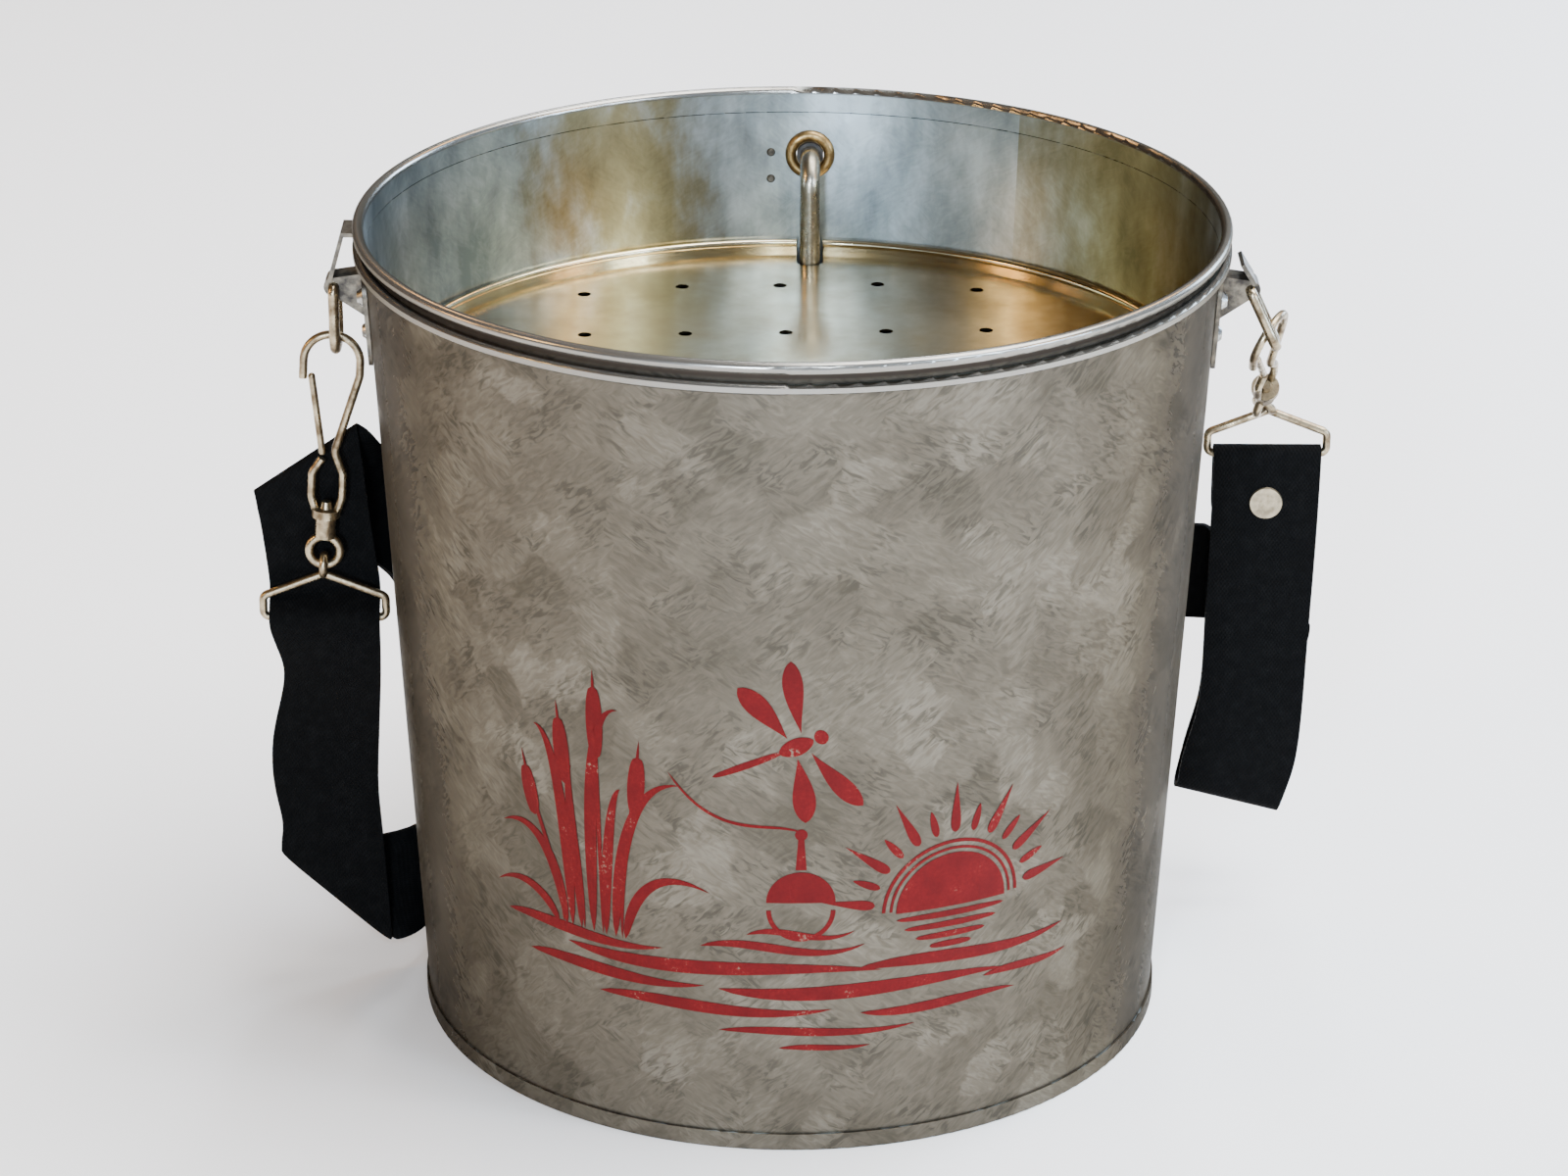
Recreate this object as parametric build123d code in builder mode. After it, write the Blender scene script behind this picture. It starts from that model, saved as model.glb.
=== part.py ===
from build123d import *

import os
from math import atan2, cos, degrees, radians, sin

# Aerated bait bucket: a tapered galvanised pail with a perforated tray, an air tube and a
# webbing strap hung from two ears. Millimetres, +Z up, origin at the centre of the base on
# the ground, ears on the X axis, air tube at the back (+Y).

# ---- driving dimensions -------------------------------------------------------------
# pail
pail_height = 237.4
base_radius = 106.6
wall_taper = 0.0566
sheet = 0.6
floor_level = 6.0
seam_height = 5.0
bead_drop = 7.4
bead_radius = 1.5
bead_reach = 2.9
bead_slit = 0.2
rim_roll_radius = 1.6
rim_roll_slit = 0.7
lock_seam_width = 6.0
lock_seam_angle = 55.5
lock_seam_foot = 7.0
lock_seam_drop = 11.0
small_rivet_diameter = 1.8
small_rivet_head = 2.6
small_rivet_dome = 0.7
small_rivet_x = -6.6
small_rivet_drops = (19.8, 28.0)
hole_cut = 12.0
# tray
tray_drop = 50.2
tray_sheet = 0.8
tray_bead_radius = 1.2
tray_rim_height = 2.6
tray_hole_diameter = 4.0
tray_rows = 5
tray_columns = 5
tray_row_pitch = 41.5
tray_column_pitch = 29.2
tray_corner_pull = 6.0
tray_turn = 2.5
# air line
tube_diameter = 6.0
tube_bore = 4.0
tube_x = 5.3
tube_drop = 20.4
tube_setback = 12.0
tube_foot_level = 31.0
tube_foot_setback = 11.0
notch_gap = 1.0
notch_reach = 40.0
tube_bend_radius = 8.0
tube_stub = 12.0
tube_collar_diameter = 8.0
tube_collar = 1.4
stone_diameter = 14.0
stone_length = 28.0
stone_socket = 8.0
stone_top_chamfer = 1.5
stone_foot_chamfer = 2.5
eyelet_bore = 8.4
eyelet_flange_diameter = 15.0
eyelet_wall = 0.5
eyelet_back_flange = 0.7
eyelet_back_flange_diameter = 13.0
bush_length = 5.0
# ears, links and their rivets
ear_sheet = 1.2
ear_width = 26.0
left_azimuth = 180.0
right_azimuth = 0.0
ear_bottom_drop = 42.4
ear_plate_drop = 15.9
ear_tab_width = 12.0
left_tab_drop = 5.0
left_tab_reach = 5.6
right_tab_drop = 12.9
right_tab_reach = 6.3
ear_corner = 5.0
ear_plate_arc = 20.0
ear_bridge_foot_drop = 29.9
ear_bridge_head_drop = 16.9
eye_reach = 9.45
eye_drop = 20.9
eye_length = 8.0
ear_rivet_diameter = 3.0
ear_rivet_head = 5.6
ear_rivet_dome = 1.5
ear_rivet_tail = 0.8
ear_rivet_spread = 9.0
ear_rivet_drop = 21.9
ear_rivet_low_drop = 35.1
link_wire = 3.0
link_length = 18.7
link_corner = 3.6
link_lean_right = 25.0
# wire snap, swivel and strap ring
snap_wire = 2.4
snap_loop_radius = 8.0
snap_tip_drop = 13.5
snap_waist_drop = 35.5
snap_waist_half = 1.75
snap_cage_half = 4.4
snap_shoulder = 4.0
snap_cage_drop = 42.0
snap_neck = 3.5
snap_bends = (5.0, 5.0, 4.0, 3.0)
snap_cage_bends = (3.0, 4.0)
snap_collar_drop = 52.8
snap_collar_diameter = 8.2
snap_collar_length = 2.4
snap_slack = 0.5
gate_wire = 2.0
gate_tip_inset = 2.45
gate_tip_lift = 0.6
gate_root_drop = 0.2
swivel_pin_diameter = 2.4
swivel_head_diameter = 3.8
swivel_head_height = 2.0
swivel_barrel_diameter = 6.0
swivel_barrel_length = 5.0
swivel_pin_seat = 3.5
eye_ring_radius = 4.4
eye_ring_wire = 2.6
ring_wire = 2.4
ring_shoulder_drop = 7.0
ring_height = 13.5
ring_corner = 2.0
swing_lift = 2.5
left_snap_reach = 1.0
left_eye_shift = -4.7
left_eye_drop = 67.0
right_eye_shift = 4.9
right_eye_back = 52.0
right_eye_drop = 41.0
right_snap_roll = 56.0
# strap
strap_width = 31.75
strap_thickness = 1.8
strap_wall_gap = 3.3
strap_left_front = 5.3
strap_left_foot_level = 60.0
strap_left_belly_level = 100.0
strap_thread_rise = 3.6
strap_thread_angle = 40.0
strap_left_bends = (30.0, 30.0, 2.4, 2.4)
strap_crease_left_rise = 36.1
strap_crease_left_shift = 3.5
strap_crease_right_rise = 56.6
strap_crease_right_shift = 5.4
strap_ground_gap = 7.0
strap_fold = 29.2
strap_climb = 0.324
strap_descent = 0.527
strap_right_foot = 32.0
strap_right_kink = 62.0
strap_right_lean = 16.0
strap_right_back = 10.0
strap_right_bends = (2.2, 2.2)
strap_foot_bends = (4.8, 4.8)
strap_arc_left = 158.0
strap_arc_right = 36.0
strap_turn_radius = 12.0
strap_tail = 22.0
strap_rivet_drop = 14.3
strap_rivet_diameter = 4.0
strap_rivet_head = 11.0
strap_rivet_cap = 1.6
strap_rivet_back_diameter = 8.8
strap_rivet_back_cap = 1.0
# clearances
seat_gap = 0.1
running_gap = 0.05
body_gap = 0.3


def wall_radius(level):
    """Outer radius of the tapered wall at a height."""
    return base_radius + wall_taper * level


def wall_inside(level):
    """Inner radius of the tapered wall at a height."""
    return wall_radius(level) - sheet


bead_level = pail_height - bead_drop
tray_level = pail_height - tray_drop
tube_level = pail_height - tube_drop
ear_bottom = pail_height - ear_bottom_drop
ear_plate_top = pail_height - ear_plate_drop
ear_rivet_level = pail_height - ear_rivet_drop
ear_rivet_low = pail_height - ear_rivet_low_drop
eye_level = pail_height - eye_drop
eye_x = wall_radius(eye_level) + eye_reach


def wall_plane(azimuth, level, radius):
    """Plane square to the wall, its normal pointing outward."""
    out = Vector(cos(radians(azimuth)), sin(radians(azimuth)), 0)
    normal = out - Vector(0, 0, wall_taper)
    origin = out * radius + Vector(0, 0, level)
    return Plane(origin=origin, x_dir=(-out.Y, out.X, 0), z_dir=normal)


upright = (Align.CENTER, Align.CENTER, Align.MIN)


def save(part, name):
    """Label a finished piece and write it."""
    part.label = name
    export_step(part, f"parts/{name}.step")


os.makedirs("parts", exist_ok=True)

# ---- pail wall: taper, rolled rim, pinched stop bead, lock seam ------------------------
roll_level = pail_height - rim_roll_radius
roll_centre = wall_inside(roll_level) + rim_roll_radius
bead_centre = wall_radius(bead_level) + bead_reach - bead_radius
wall_foot = sheet + seat_gap
lock_seam_head = pail_height - lock_seam_drop
small_rivet_levels = [pail_height - drop for drop in small_rivet_drops]
ear_rivet_angle = degrees(atan2(ear_rivet_spread, wall_radius(ear_rivet_level)))
eyelet_angle = degrees(atan2(wall_inside(tube_level), tube_x))
eyelet_barrel = eyelet_bore + 2 * eyelet_wall



def small_rivet_azimuth(level):
    """Direction of the small rivets, which stand above each other beside the tube."""
    return degrees(atan2(wall_radius(level), small_rivet_x))


with BuildPart() as pail_wall:
    with BuildSketch(Plane.XZ):
        with BuildLine():
            Polyline(
                (wall_inside(wall_foot), wall_foot),
                (wall_radius(wall_foot), wall_foot),
                (wall_radius(roll_level), roll_level),
                (wall_inside(roll_level), roll_level),
                close=True,
            )
        make_face()
        with Locations((roll_centre, roll_level)):
            Circle(rim_roll_radius)
        with Locations((bead_centre, bead_level)):
            Circle(bead_radius)
        with Locations((wall_radius(bead_level), bead_level)):
            Rectangle(bead_reach, bead_slit + 2 * sheet, align=(Align.MIN, Align.CENTER))
        with Locations((roll_centre, roll_level)):
            Circle(rim_roll_radius - sheet, mode=Mode.SUBTRACT)
            Rectangle(rim_roll_slit, 2 * rim_roll_radius, align=(Align.MIN, Align.MAX), mode=Mode.SUBTRACT)
        with Locations((bead_centre, bead_level)):
            Circle(bead_radius - sheet, mode=Mode.SUBTRACT)
            Rectangle(2 * bead_reach, bead_slit, align=(Align.MAX, Align.CENTER), mode=Mode.SUBTRACT)
    revolve(axis=Axis.Z)
    # lock seam: the folded joint of the sheet stands proud on the outside
    with BuildSketch(Plane.XZ.rotated((0, 0, lock_seam_angle))):
        with BuildLine():
            Polyline(
                (wall_radius(lock_seam_foot), lock_seam_foot),
                (wall_radius(lock_seam_foot) + sheet, lock_seam_foot),
                (wall_radius(lock_seam_head) + sheet, lock_seam_head),
                (wall_radius(lock_seam_head), lock_seam_head),
                close=True,
            )
        make_face()
    revolve(axis=Axis.Z, revolution_arc=degrees(lock_seam_width / wall_radius(bead_level)))
    # holes for the eyelet, the two small rivets beside it and the ear rivets
    with Locations(wall_plane(eyelet_angle, tube_level, wall_radius(tube_level))):
        Cylinder(eyelet_barrel / 2 + seat_gap, hole_cut, mode=Mode.SUBTRACT)
    for level in small_rivet_levels:
        with Locations(wall_plane(small_rivet_azimuth(level), level, wall_radius(level))):
            Cylinder(small_rivet_diameter / 2 + running_gap, hole_cut, mode=Mode.SUBTRACT)
    for azimuth in (left_azimuth, right_azimuth):
        for angle, level in (
            (azimuth - ear_rivet_angle, ear_rivet_level),
            (azimuth + ear_rivet_angle, ear_rivet_level),
            (azimuth, ear_rivet_low),
        ):
            with Locations(wall_plane(angle, level, wall_radius(level))):
                Cylinder(ear_rivet_diameter / 2 + running_gap, hole_cut, mode=Mode.SUBTRACT)
save(pail_wall.part, "pail_wall")

# ---- hoop of wire inside the rolled rim -----------------------------------------------
with BuildPart() as rim_wire:
    with BuildSketch(Plane.XZ):
        with Locations((roll_centre, roll_level)):
            Circle(rim_roll_radius - sheet - seat_gap)
    revolve(axis=Axis.Z)
save(rim_wire.part, "rim_wire")

# ---- two small blind rivets through the wall beside the air tube --------------------------
with BuildPart() as wall_rivets:
    for level in small_rivet_levels:
        plane = wall_plane(small_rivet_azimuth(level), level, wall_inside(level))
        head_seat = plane.offset(-seat_gap)
        tail_seat = plane.offset(sheet + seat_gap)
        with Locations(head_seat.offset(-small_rivet_dome)):
            Cone(small_rivet_head / 3, small_rivet_head / 2, small_rivet_dome, align=upright)
        with Locations(head_seat):
            Cylinder(small_rivet_diameter / 2, sheet + 2 * seat_gap, align=upright)
        with Locations(tail_seat):
            Cone(small_rivet_head / 2, small_rivet_head / 3, small_rivet_dome, align=upright)
save(wall_rivets.part, "wall_rivets")

# ---- bottom: recessed disc whose edge folds around the foot of the wall -----------------
fold_inside = wall_inside(wall_foot) - seat_gap
fold_outside = wall_radius(seam_height) + seat_gap
with BuildPart() as pail_bottom:
    with BuildSketch(Plane.XZ):
        with BuildLine():
            Polyline(
                (0, floor_level),
                (fold_inside, floor_level),
                (fold_inside, sheet),
                (fold_outside, sheet),
                (fold_outside, seam_height),
                (fold_outside + sheet, seam_height),
                (fold_outside + sheet, 0),
                (fold_inside - sheet, 0),
                (fold_inside - sheet, floor_level - sheet),
                (0, floor_level - sheet),
                close=True,
            )
        make_face()
    revolve(axis=Axis.Z)
    foot_edges = pail_bottom.edges().filter_by(GeomType.CIRCLE).group_by(Axis.Z)[0]
    fillet(foot_edges.sort_by(SortBy.RADIUS)[-1], sheet * 0.8)
save(pail_bottom.part, "pail_bottom")

# ---- perforated tray: flat disc with an upturned beaded edge and a notch for the tube ----
tray_bead_level = tray_level + tray_rim_height
tray_radius = wall_inside(tray_level) - body_gap
tray_bead_centre = tray_radius - tray_bead_radius
tube_y = wall_inside(tube_level) - tube_setback
tube_foot_y = wall_inside(tube_foot_level) - tube_foot_setback
tube_lean = (tube_y - tube_foot_y) / (tube_level - tube_foot_level)
tube_y_at_tray = tube_y - tube_lean * (tube_level - tray_level)
notch_width = tube_diameter + 2 * notch_gap

with BuildPart() as perforated_tray:
    with BuildSketch(Plane.XZ):
        with BuildLine():
            Polyline(
                (0, tray_level),
                (0, tray_level - tray_sheet),
                (tray_bead_centre + tray_sheet / 2, tray_level - tray_sheet),
                (tray_bead_centre + tray_sheet / 2, tray_bead_level),
                (tray_bead_centre - tray_sheet / 2, tray_bead_level),
                (tray_bead_centre - tray_sheet / 2, tray_level),
                close=True,
            )
        make_face()
        with Locations((tray_bead_centre, tray_bead_level)):
            Circle(tray_bead_radius)
    revolve(axis=Axis.Z)
    with BuildSketch(Plane.XY.offset(tray_level).rotated((0, 0, tray_turn))):
        for column in range(tray_columns):
            for row in range(tray_rows):
                at_x = (column - (tray_columns - 1) / 2) * tray_column_pitch
                at_y = (row - (tray_rows - 1) / 2) * tray_row_pitch
                if column in (0, tray_columns - 1) and row in (0, tray_rows - 1):
                    at_y -= tray_corner_pull * (1 if row else -1)
                with Locations((at_x, at_y)):
                    Circle(tray_hole_diameter / 2)
    extrude(amount=2 * tray_sheet, both=True, mode=Mode.SUBTRACT)
    with BuildSketch(Plane.XY.offset(tray_level)):
        with Locations((tube_x, tube_y_at_tray)):
            Rectangle(notch_width, notch_reach, align=(Align.CENTER, Align.MIN))
            Circle(notch_width / 2)
    extrude(amount=2 * tray_rim_height, both=True, mode=Mode.SUBTRACT)
save(perforated_tray.part, "perforated_tray")

# ---- air tube: stub outside, through the wall, elbow, down beside the wall ---------------
collar_y = wall_radius(tube_level) + bush_length / 2 + seat_gap
tube_path_points = (
    (tube_x, collar_y + tube_collar + tube_stub, tube_level),
    (tube_x, tube_y, tube_level),
    (tube_x, tube_foot_y, tube_foot_level),
)
tube_down = (Vector(*tube_path_points[2]) - Vector(*tube_path_points[1])).normalized()
with BuildPart() as air_tube:
    with BuildLine():
        FilletPolyline(*tube_path_points, radius=tube_bend_radius)
    with BuildSketch(Plane(origin=tube_path_points[0], z_dir=(0, -1, 0))):
        Circle(tube_diameter / 2)
        Circle(tube_bore / 2, mode=Mode.SUBTRACT)
    sweep()
    # collar that stops the hose
    with BuildSketch(Plane(origin=(tube_x, collar_y, tube_level), z_dir=(0, 1, 0))):
        Circle(tube_collar_diameter / 2)
        Circle(tube_diameter / 2 - running_gap, mode=Mode.SUBTRACT)
    extrude(amount=tube_collar)
save(air_tube.part, "air_tube")

# ---- eyelet pressed in the wall and the rubber bush that seals the tube in it -----------
eyelet_plane = wall_plane(eyelet_angle, tube_level, wall_inside(tube_level))
flange_sag = (eyelet_flange_diameter / 2) ** 2 / (2 * wall_inside(tube_level))
eyelet_seat = eyelet_plane.offset(-flange_sag - seat_gap)
eyelet_roll = (eyelet_flange_diameter - eyelet_bore) / 4
eyelet_reach = flange_sag + sheet + 2 * seat_gap
with BuildPart() as tube_eyelet:
    # rolled flange on the inside, cut off flat at the wall
    with Locations(eyelet_seat):
        Torus(eyelet_flange_diameter / 2 - eyelet_roll, eyelet_roll)
        Cylinder(eyelet_flange_diameter, hole_cut, align=upright, mode=Mode.SUBTRACT)
    with BuildSketch(eyelet_seat.offset(-eyelet_wall)):
        Circle(eyelet_barrel / 2)
        Circle(eyelet_bore / 2, mode=Mode.SUBTRACT)
    extrude(amount=eyelet_wall + eyelet_reach + eyelet_back_flange)
    with BuildSketch(eyelet_seat.offset(eyelet_reach)):
        Circle(eyelet_back_flange_diameter / 2)
        Circle(eyelet_bore / 2, mode=Mode.SUBTRACT)
    extrude(amount=eyelet_back_flange)
save(tube_eyelet.part, "tube_eyelet")

with BuildPart() as tube_bush:
    bush_y = wall_radius(tube_level) - bush_length / 2
    with BuildSketch(Plane(origin=(tube_x, bush_y, tube_level), z_dir=(0, 1, 0))):
        Circle(eyelet_bore / 2 - 2 * seat_gap)
        Circle(tube_diameter / 2 + running_gap, mode=Mode.SUBTRACT)
    extrude(amount=bush_length)
save(tube_bush.part, "tube_bush")

# ---- air stone: porous plug with a socket on the foot of the tube ----------------------
stone_top = Vector(*tube_path_points[2]) - tube_down * (stone_socket - seat_gap)
stone_plane = Plane(origin=stone_top, x_dir=(1, 0, 0), z_dir=tube_down)
with BuildPart() as air_stone:
    with BuildSketch(stone_plane):
        Circle(stone_diameter / 2)
    extrude(amount=stone_length)
    chamfer(air_stone.edges().group_by(Axis.Z)[-1], stone_top_chamfer)
    chamfer(air_stone.edges().filter_by(GeomType.CIRCLE).group_by(Axis.Z)[0], stone_foot_chamfer)
    with BuildSketch(stone_plane):
        Circle(tube_diameter / 2 + running_gap)
    extrude(amount=stone_socket, mode=Mode.SUBTRACT)
save(air_stone.part, "air_stone")


# ---- ears: plate riveted to the wall, bridge with the eye, tab up over the stop bead -----
def build_ear(side):
    """Ear plate on one side of the pail, its eye along Y."""
    plate_inside = seat_gap
    plate_outside = seat_gap + ear_sheet
    plate_middle = seat_gap + ear_sheet / 2
    azimuth = right_azimuth if side > 0 else left_azimuth
    bridge_foot = pail_height - ear_bridge_foot_drop
    bridge_head = pail_height - ear_bridge_head_drop
    # the tab over the eye: the left one is folded in over the stop bead, the right one is short
    if side > 0:
        tab_level = pail_height - right_tab_drop
        tab_points = [(wall_radius(tab_level) + right_tab_reach, tab_level)]
    else:
        tab_level = pail_height - left_tab_drop
        tab_points = [
            (wall_radius(tab_level) + left_tab_reach, tab_level),
            (wall_radius(tab_level) + body_gap, tab_level),
        ]
    tab_points.insert(0, (eye_x + ear_sheet * 0.8, eye_level + link_wire / 2 + ear_sheet / 2))
    with BuildPart() as ear:
        with BuildSketch(Plane.XZ.rotated((0, 0, azimuth - ear_plate_arc / 2))):
            with BuildLine():
                Polyline(
                    (wall_radius(ear_bottom) + plate_inside, ear_bottom),
                    (wall_radius(ear_bottom) + plate_outside, ear_bottom),
                    (wall_radius(ear_plate_top) + plate_outside, ear_plate_top),
                    (wall_radius(ear_plate_top) + plate_inside, ear_plate_top),
                    close=True,
                )
            make_face()
        revolve(axis=Axis.Z, revolution_arc=ear_plate_arc)
        with BuildSketch(Plane.YZ):
            with Locations((0, (ear_bottom + ear_plate_top) / 2)):
                RectangleRounded(ear_width, ear_plate_top - ear_bottom, ear_corner)
        extrude(amount=side * 2 * base_radius, mode=Mode.INTERSECT)
        with BuildSketch(Plane.XZ.offset(-eye_length / 2)):
            with BuildLine():
                Polyline(
                    (side * (wall_radius(bridge_foot) + plate_middle), bridge_foot),
                    (side * (wall_radius(bridge_head) + plate_middle), bridge_head),
                    (side * eye_x, eye_level + link_wire / 2 + ear_sheet),
                    (side * (eye_x + link_wire / 2 + ear_sheet), eye_level),
                    (side * eye_x, eye_level - link_wire / 2 - ear_sheet),
                    close=True,
                )
            make_face()
            with Locations((side * eye_x, eye_level)):
                Circle(link_wire / 2 + running_gap + ear_sheet)
        extrude(amount=eye_length)
        with BuildSketch(Plane.XZ.offset(-ear_tab_width / 2)):
            with BuildLine():
                Polyline(*[(side * radius, level) for radius, level in tab_points])
            trace(line_width=ear_sheet)
        extrude(amount=ear_tab_width)
        with BuildSketch(Plane.XZ.offset(-ear_tab_width)):
            with Locations((side * eye_x, eye_level)):
                Circle(link_wire / 2 + running_gap)
        extrude(amount=2 * ear_tab_width, mode=Mode.SUBTRACT)
        for angle, level in (
            (azimuth - ear_rivet_angle, ear_rivet_level),
            (azimuth + ear_rivet_angle, ear_rivet_level),
            (azimuth, ear_rivet_low),
        ):
            with Locations(wall_plane(angle, level, wall_radius(level))):
                Cylinder(ear_rivet_diameter / 2 + running_gap, hole_cut, mode=Mode.SUBTRACT)
    return ear.part


def build_ear_rivets(side):
    """Three domed rivets through one ear and the wall."""
    azimuth = right_azimuth if side > 0 else left_azimuth
    head_seat = sheet / 2 + seat_gap + ear_sheet + seat_gap
    tail_seat = -sheet / 2 - seat_gap
    with BuildPart() as rivets:
        for angle, level in (
            (azimuth - ear_rivet_angle, ear_rivet_level),
            (azimuth + ear_rivet_angle, ear_rivet_level),
            (azimuth, ear_rivet_low),
        ):
            plane = wall_plane(angle, level, wall_radius(level) - sheet / 2)
            with Locations(plane.offset(tail_seat - ear_rivet_tail)):
                Cylinder(ear_rivet_head / 2 - 0.5, ear_rivet_tail, align=upright)
                Cylinder(ear_rivet_diameter / 2, head_seat - tail_seat + ear_rivet_tail, align=upright)
            with Locations(plane.offset(head_seat)):
                Cone(ear_rivet_head / 2, ear_rivet_head / 3.4, ear_rivet_dome, align=upright)
    return rivets.part


for side, word in ((-1, "left"), (1, "right")):
    save(build_ear(side), f"ear_{word}")
    save(build_ear_rivets(side), f"ear_rivets_{word}")


# ---- hanging hardware: where each chain starts and where it hangs to ---------------------
link_half = eye_length / 2 + body_gap + link_wire / 2
link_foot_level = eye_level - link_length
left_snap_level = link_foot_level + link_wire / 2 + snap_wire / 2 + snap_slack
left_snap_top = Vector(-eye_x - left_snap_reach, 0, left_snap_level)
swing_level = left_snap_top.Z + swing_lift
right_reach = (eye_level - swing_level) / cos(radians(link_lean_right))
right_snap_top = Vector(eye_x + right_reach * sin(radians(link_lean_right)), 0, swing_level)
barrel_foot_drop = snap_collar_drop + snap_collar_length + swivel_barrel_length
eye_ring_drop = barrel_foot_drop + eye_ring_radius + eye_ring_wire / 2


def hang_plane(top, down, roll):
    """Plane with its origin at the top, -Y hanging down, turned about the hanging line."""
    up = (down * -1).normalized()
    across = (Vector(1, 0, 0) - up * up.X).normalized()
    across = across.rotate(Axis((0, 0, 0), up), roll)
    return Plane(origin=top, x_dir=across, z_dir=across.cross(up))


left_down = Vector(left_eye_shift, 0, -left_eye_drop)
right_down = Vector(right_eye_shift, right_eye_back, -right_eye_drop)
chains = {
    "left": hang_plane(left_snap_top, left_down, 0),
    "right": hang_plane(right_snap_top, right_down, right_snap_roll),
}
link_leans = {"left": 0.0, "right": link_lean_right}


def sweep_wire(path, diameter):
    """Round wire along a path, in the part being built."""
    with BuildSketch(Plane(origin=path @ 0, z_dir=path % 0)) as section:
        Circle(diameter / 2)
    sweep(sections=section.sketch, path=path)


def build_link(side, lean):
    """Closed wire link turning in the eye of its ear."""
    plane = Plane(
        origin=(side * eye_x, 0, eye_level),
        x_dir=(0, 1, 0),
        z_dir=(-cos(radians(lean)), 0, -side * sin(radians(lean))),
    )
    if plane.y_dir.Z < 0:
        plane = Plane(origin=plane.origin, x_dir=(0, 1, 0), z_dir=plane.z_dir * -1)
    with BuildPart() as link:
        with BuildLine(plane) as path:
            FilletPolyline(
                (-link_half, 0),
                (link_half, 0),
                (link_half, -link_length),
                (-link_half, -link_length),
                close=True,
                radius=(link_wire * 0.6, link_wire * 0.6, link_corner, link_corner),
            )
        sweep_wire(path.wire(), link_wire)
    return link.part


def build_snap(plane):
    """Bent wire snap: hook, waist, cage and the collar that the swivel pin turns in."""
    collar_side = snap_collar_diameter / 2 - snap_wire / 2
    with BuildPart() as snap:
        with BuildLine(plane) as hook:
            Line((-snap_loop_radius, -snap_tip_drop), (-snap_loop_radius, -snap_loop_radius))
            ThreePointArc(
                (-snap_loop_radius, -snap_loop_radius), (0, 0), (snap_loop_radius, -snap_loop_radius)
            )
            FilletPolyline(
                (snap_loop_radius, -snap_loop_radius),
                (snap_loop_radius, -snap_loop_radius - snap_shoulder),
                (snap_waist_half, -snap_waist_drop),
                (snap_cage_half, -snap_cage_drop),
                (snap_cage_half, -snap_collar_drop + snap_neck),
                (collar_side, -snap_collar_drop - snap_collar_length / 2),
                radius=snap_bends,
            )
        sweep_wire(hook.wire(), snap_wire)
        with BuildLine(plane) as cage:
            FilletPolyline(
                (-collar_side, -snap_collar_drop - snap_collar_length / 2),
                (-snap_cage_half, -snap_collar_drop + snap_neck),
                (-snap_cage_half, -snap_cage_drop),
                (-snap_waist_half, -snap_waist_drop - gate_wire / 2 - snap_wire / 2),
                radius=snap_cage_bends,
            )
        sweep_wire(cage.wire(), snap_wire)
        collar_top = Plane(
            origin=plane.from_local_coords((0, -snap_collar_drop, 0)),
            x_dir=plane.x_dir,
            z_dir=plane.y_dir * -1,
        )
        with BuildSketch(collar_top):
            Circle(snap_collar_diameter / 2)
        extrude(amount=snap_collar_length)
        with BuildSketch(collar_top.offset(-swivel_head_height)):
            Circle(swivel_pin_diameter / 2 + running_gap)
        extrude(amount=snap_collar_length + 2 * swivel_head_height, mode=Mode.SUBTRACT)
    return snap.part


def build_gate(plane):
    """Sprung wire gate from the waist of a snap to the tip of its hook."""
    root = (-snap_waist_half, -snap_waist_drop - gate_root_drop)
    tip = (-snap_loop_radius + gate_tip_inset, -snap_tip_drop + gate_tip_lift)
    start = plane.from_local_coords((*root, 0))
    end = plane.from_local_coords((*tip, 0))
    with BuildPart() as gate:
        with BuildSketch(Plane(origin=start, z_dir=end - start)):
            Circle(gate_wire / 2)
        extrude(amount=(end - start).length)
        with Locations(start, end):
            Sphere(gate_wire / 2)
    return gate.part


def build_swivel_pin(plane):
    """Headed pin standing in the cage, turning in the collar."""
    top = Plane(
        origin=plane.from_local_coords((0, -snap_collar_drop + seat_gap, 0)),
        x_dir=plane.x_dir,
        z_dir=plane.y_dir * -1,
    )
    with BuildPart() as pin:
        with BuildSketch(top):
            Circle(swivel_head_diameter / 2)
        extrude(amount=-swivel_head_height, taper=14)
        with BuildSketch(top):
            Circle(swivel_pin_diameter / 2)
        extrude(amount=snap_collar_length + swivel_pin_seat)
    return pin.part


def build_swivel_eye(plane):
    """Barrel fixed on the foot of the pin, with the round eye below it."""
    barrel_top = -snap_collar_drop - snap_collar_length - seat_gap
    top = Plane(
        origin=plane.from_local_coords((0, barrel_top, 0)), x_dir=plane.x_dir, z_dir=plane.y_dir * -1
    )
    with BuildPart() as eye:
        with BuildSketch(top):
            Circle(swivel_barrel_diameter / 2)
        extrude(amount=swivel_barrel_length + eye_ring_wire / 2)
        ring_centre = plane.from_local_coords((0, -eye_ring_drop, 0))
        with Locations(Plane(origin=ring_centre, x_dir=plane.x_dir, z_dir=plane.z_dir)):
            Torus(eye_ring_radius, eye_ring_wire / 2)
            Cylinder(eye_ring_radius - eye_ring_wire / 2, hole_cut, mode=Mode.SUBTRACT)
        with BuildSketch(top):
            Circle(swivel_pin_diameter / 2 + running_gap)
        extrude(amount=swivel_pin_seat + seat_gap, mode=Mode.SUBTRACT)
    return eye.part


coil_radius = eye_ring_wire / 2 + ring_wire / 2 + body_gap
ring_half = strap_width / 2 + 2 * body_gap + ring_wire / 2


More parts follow.
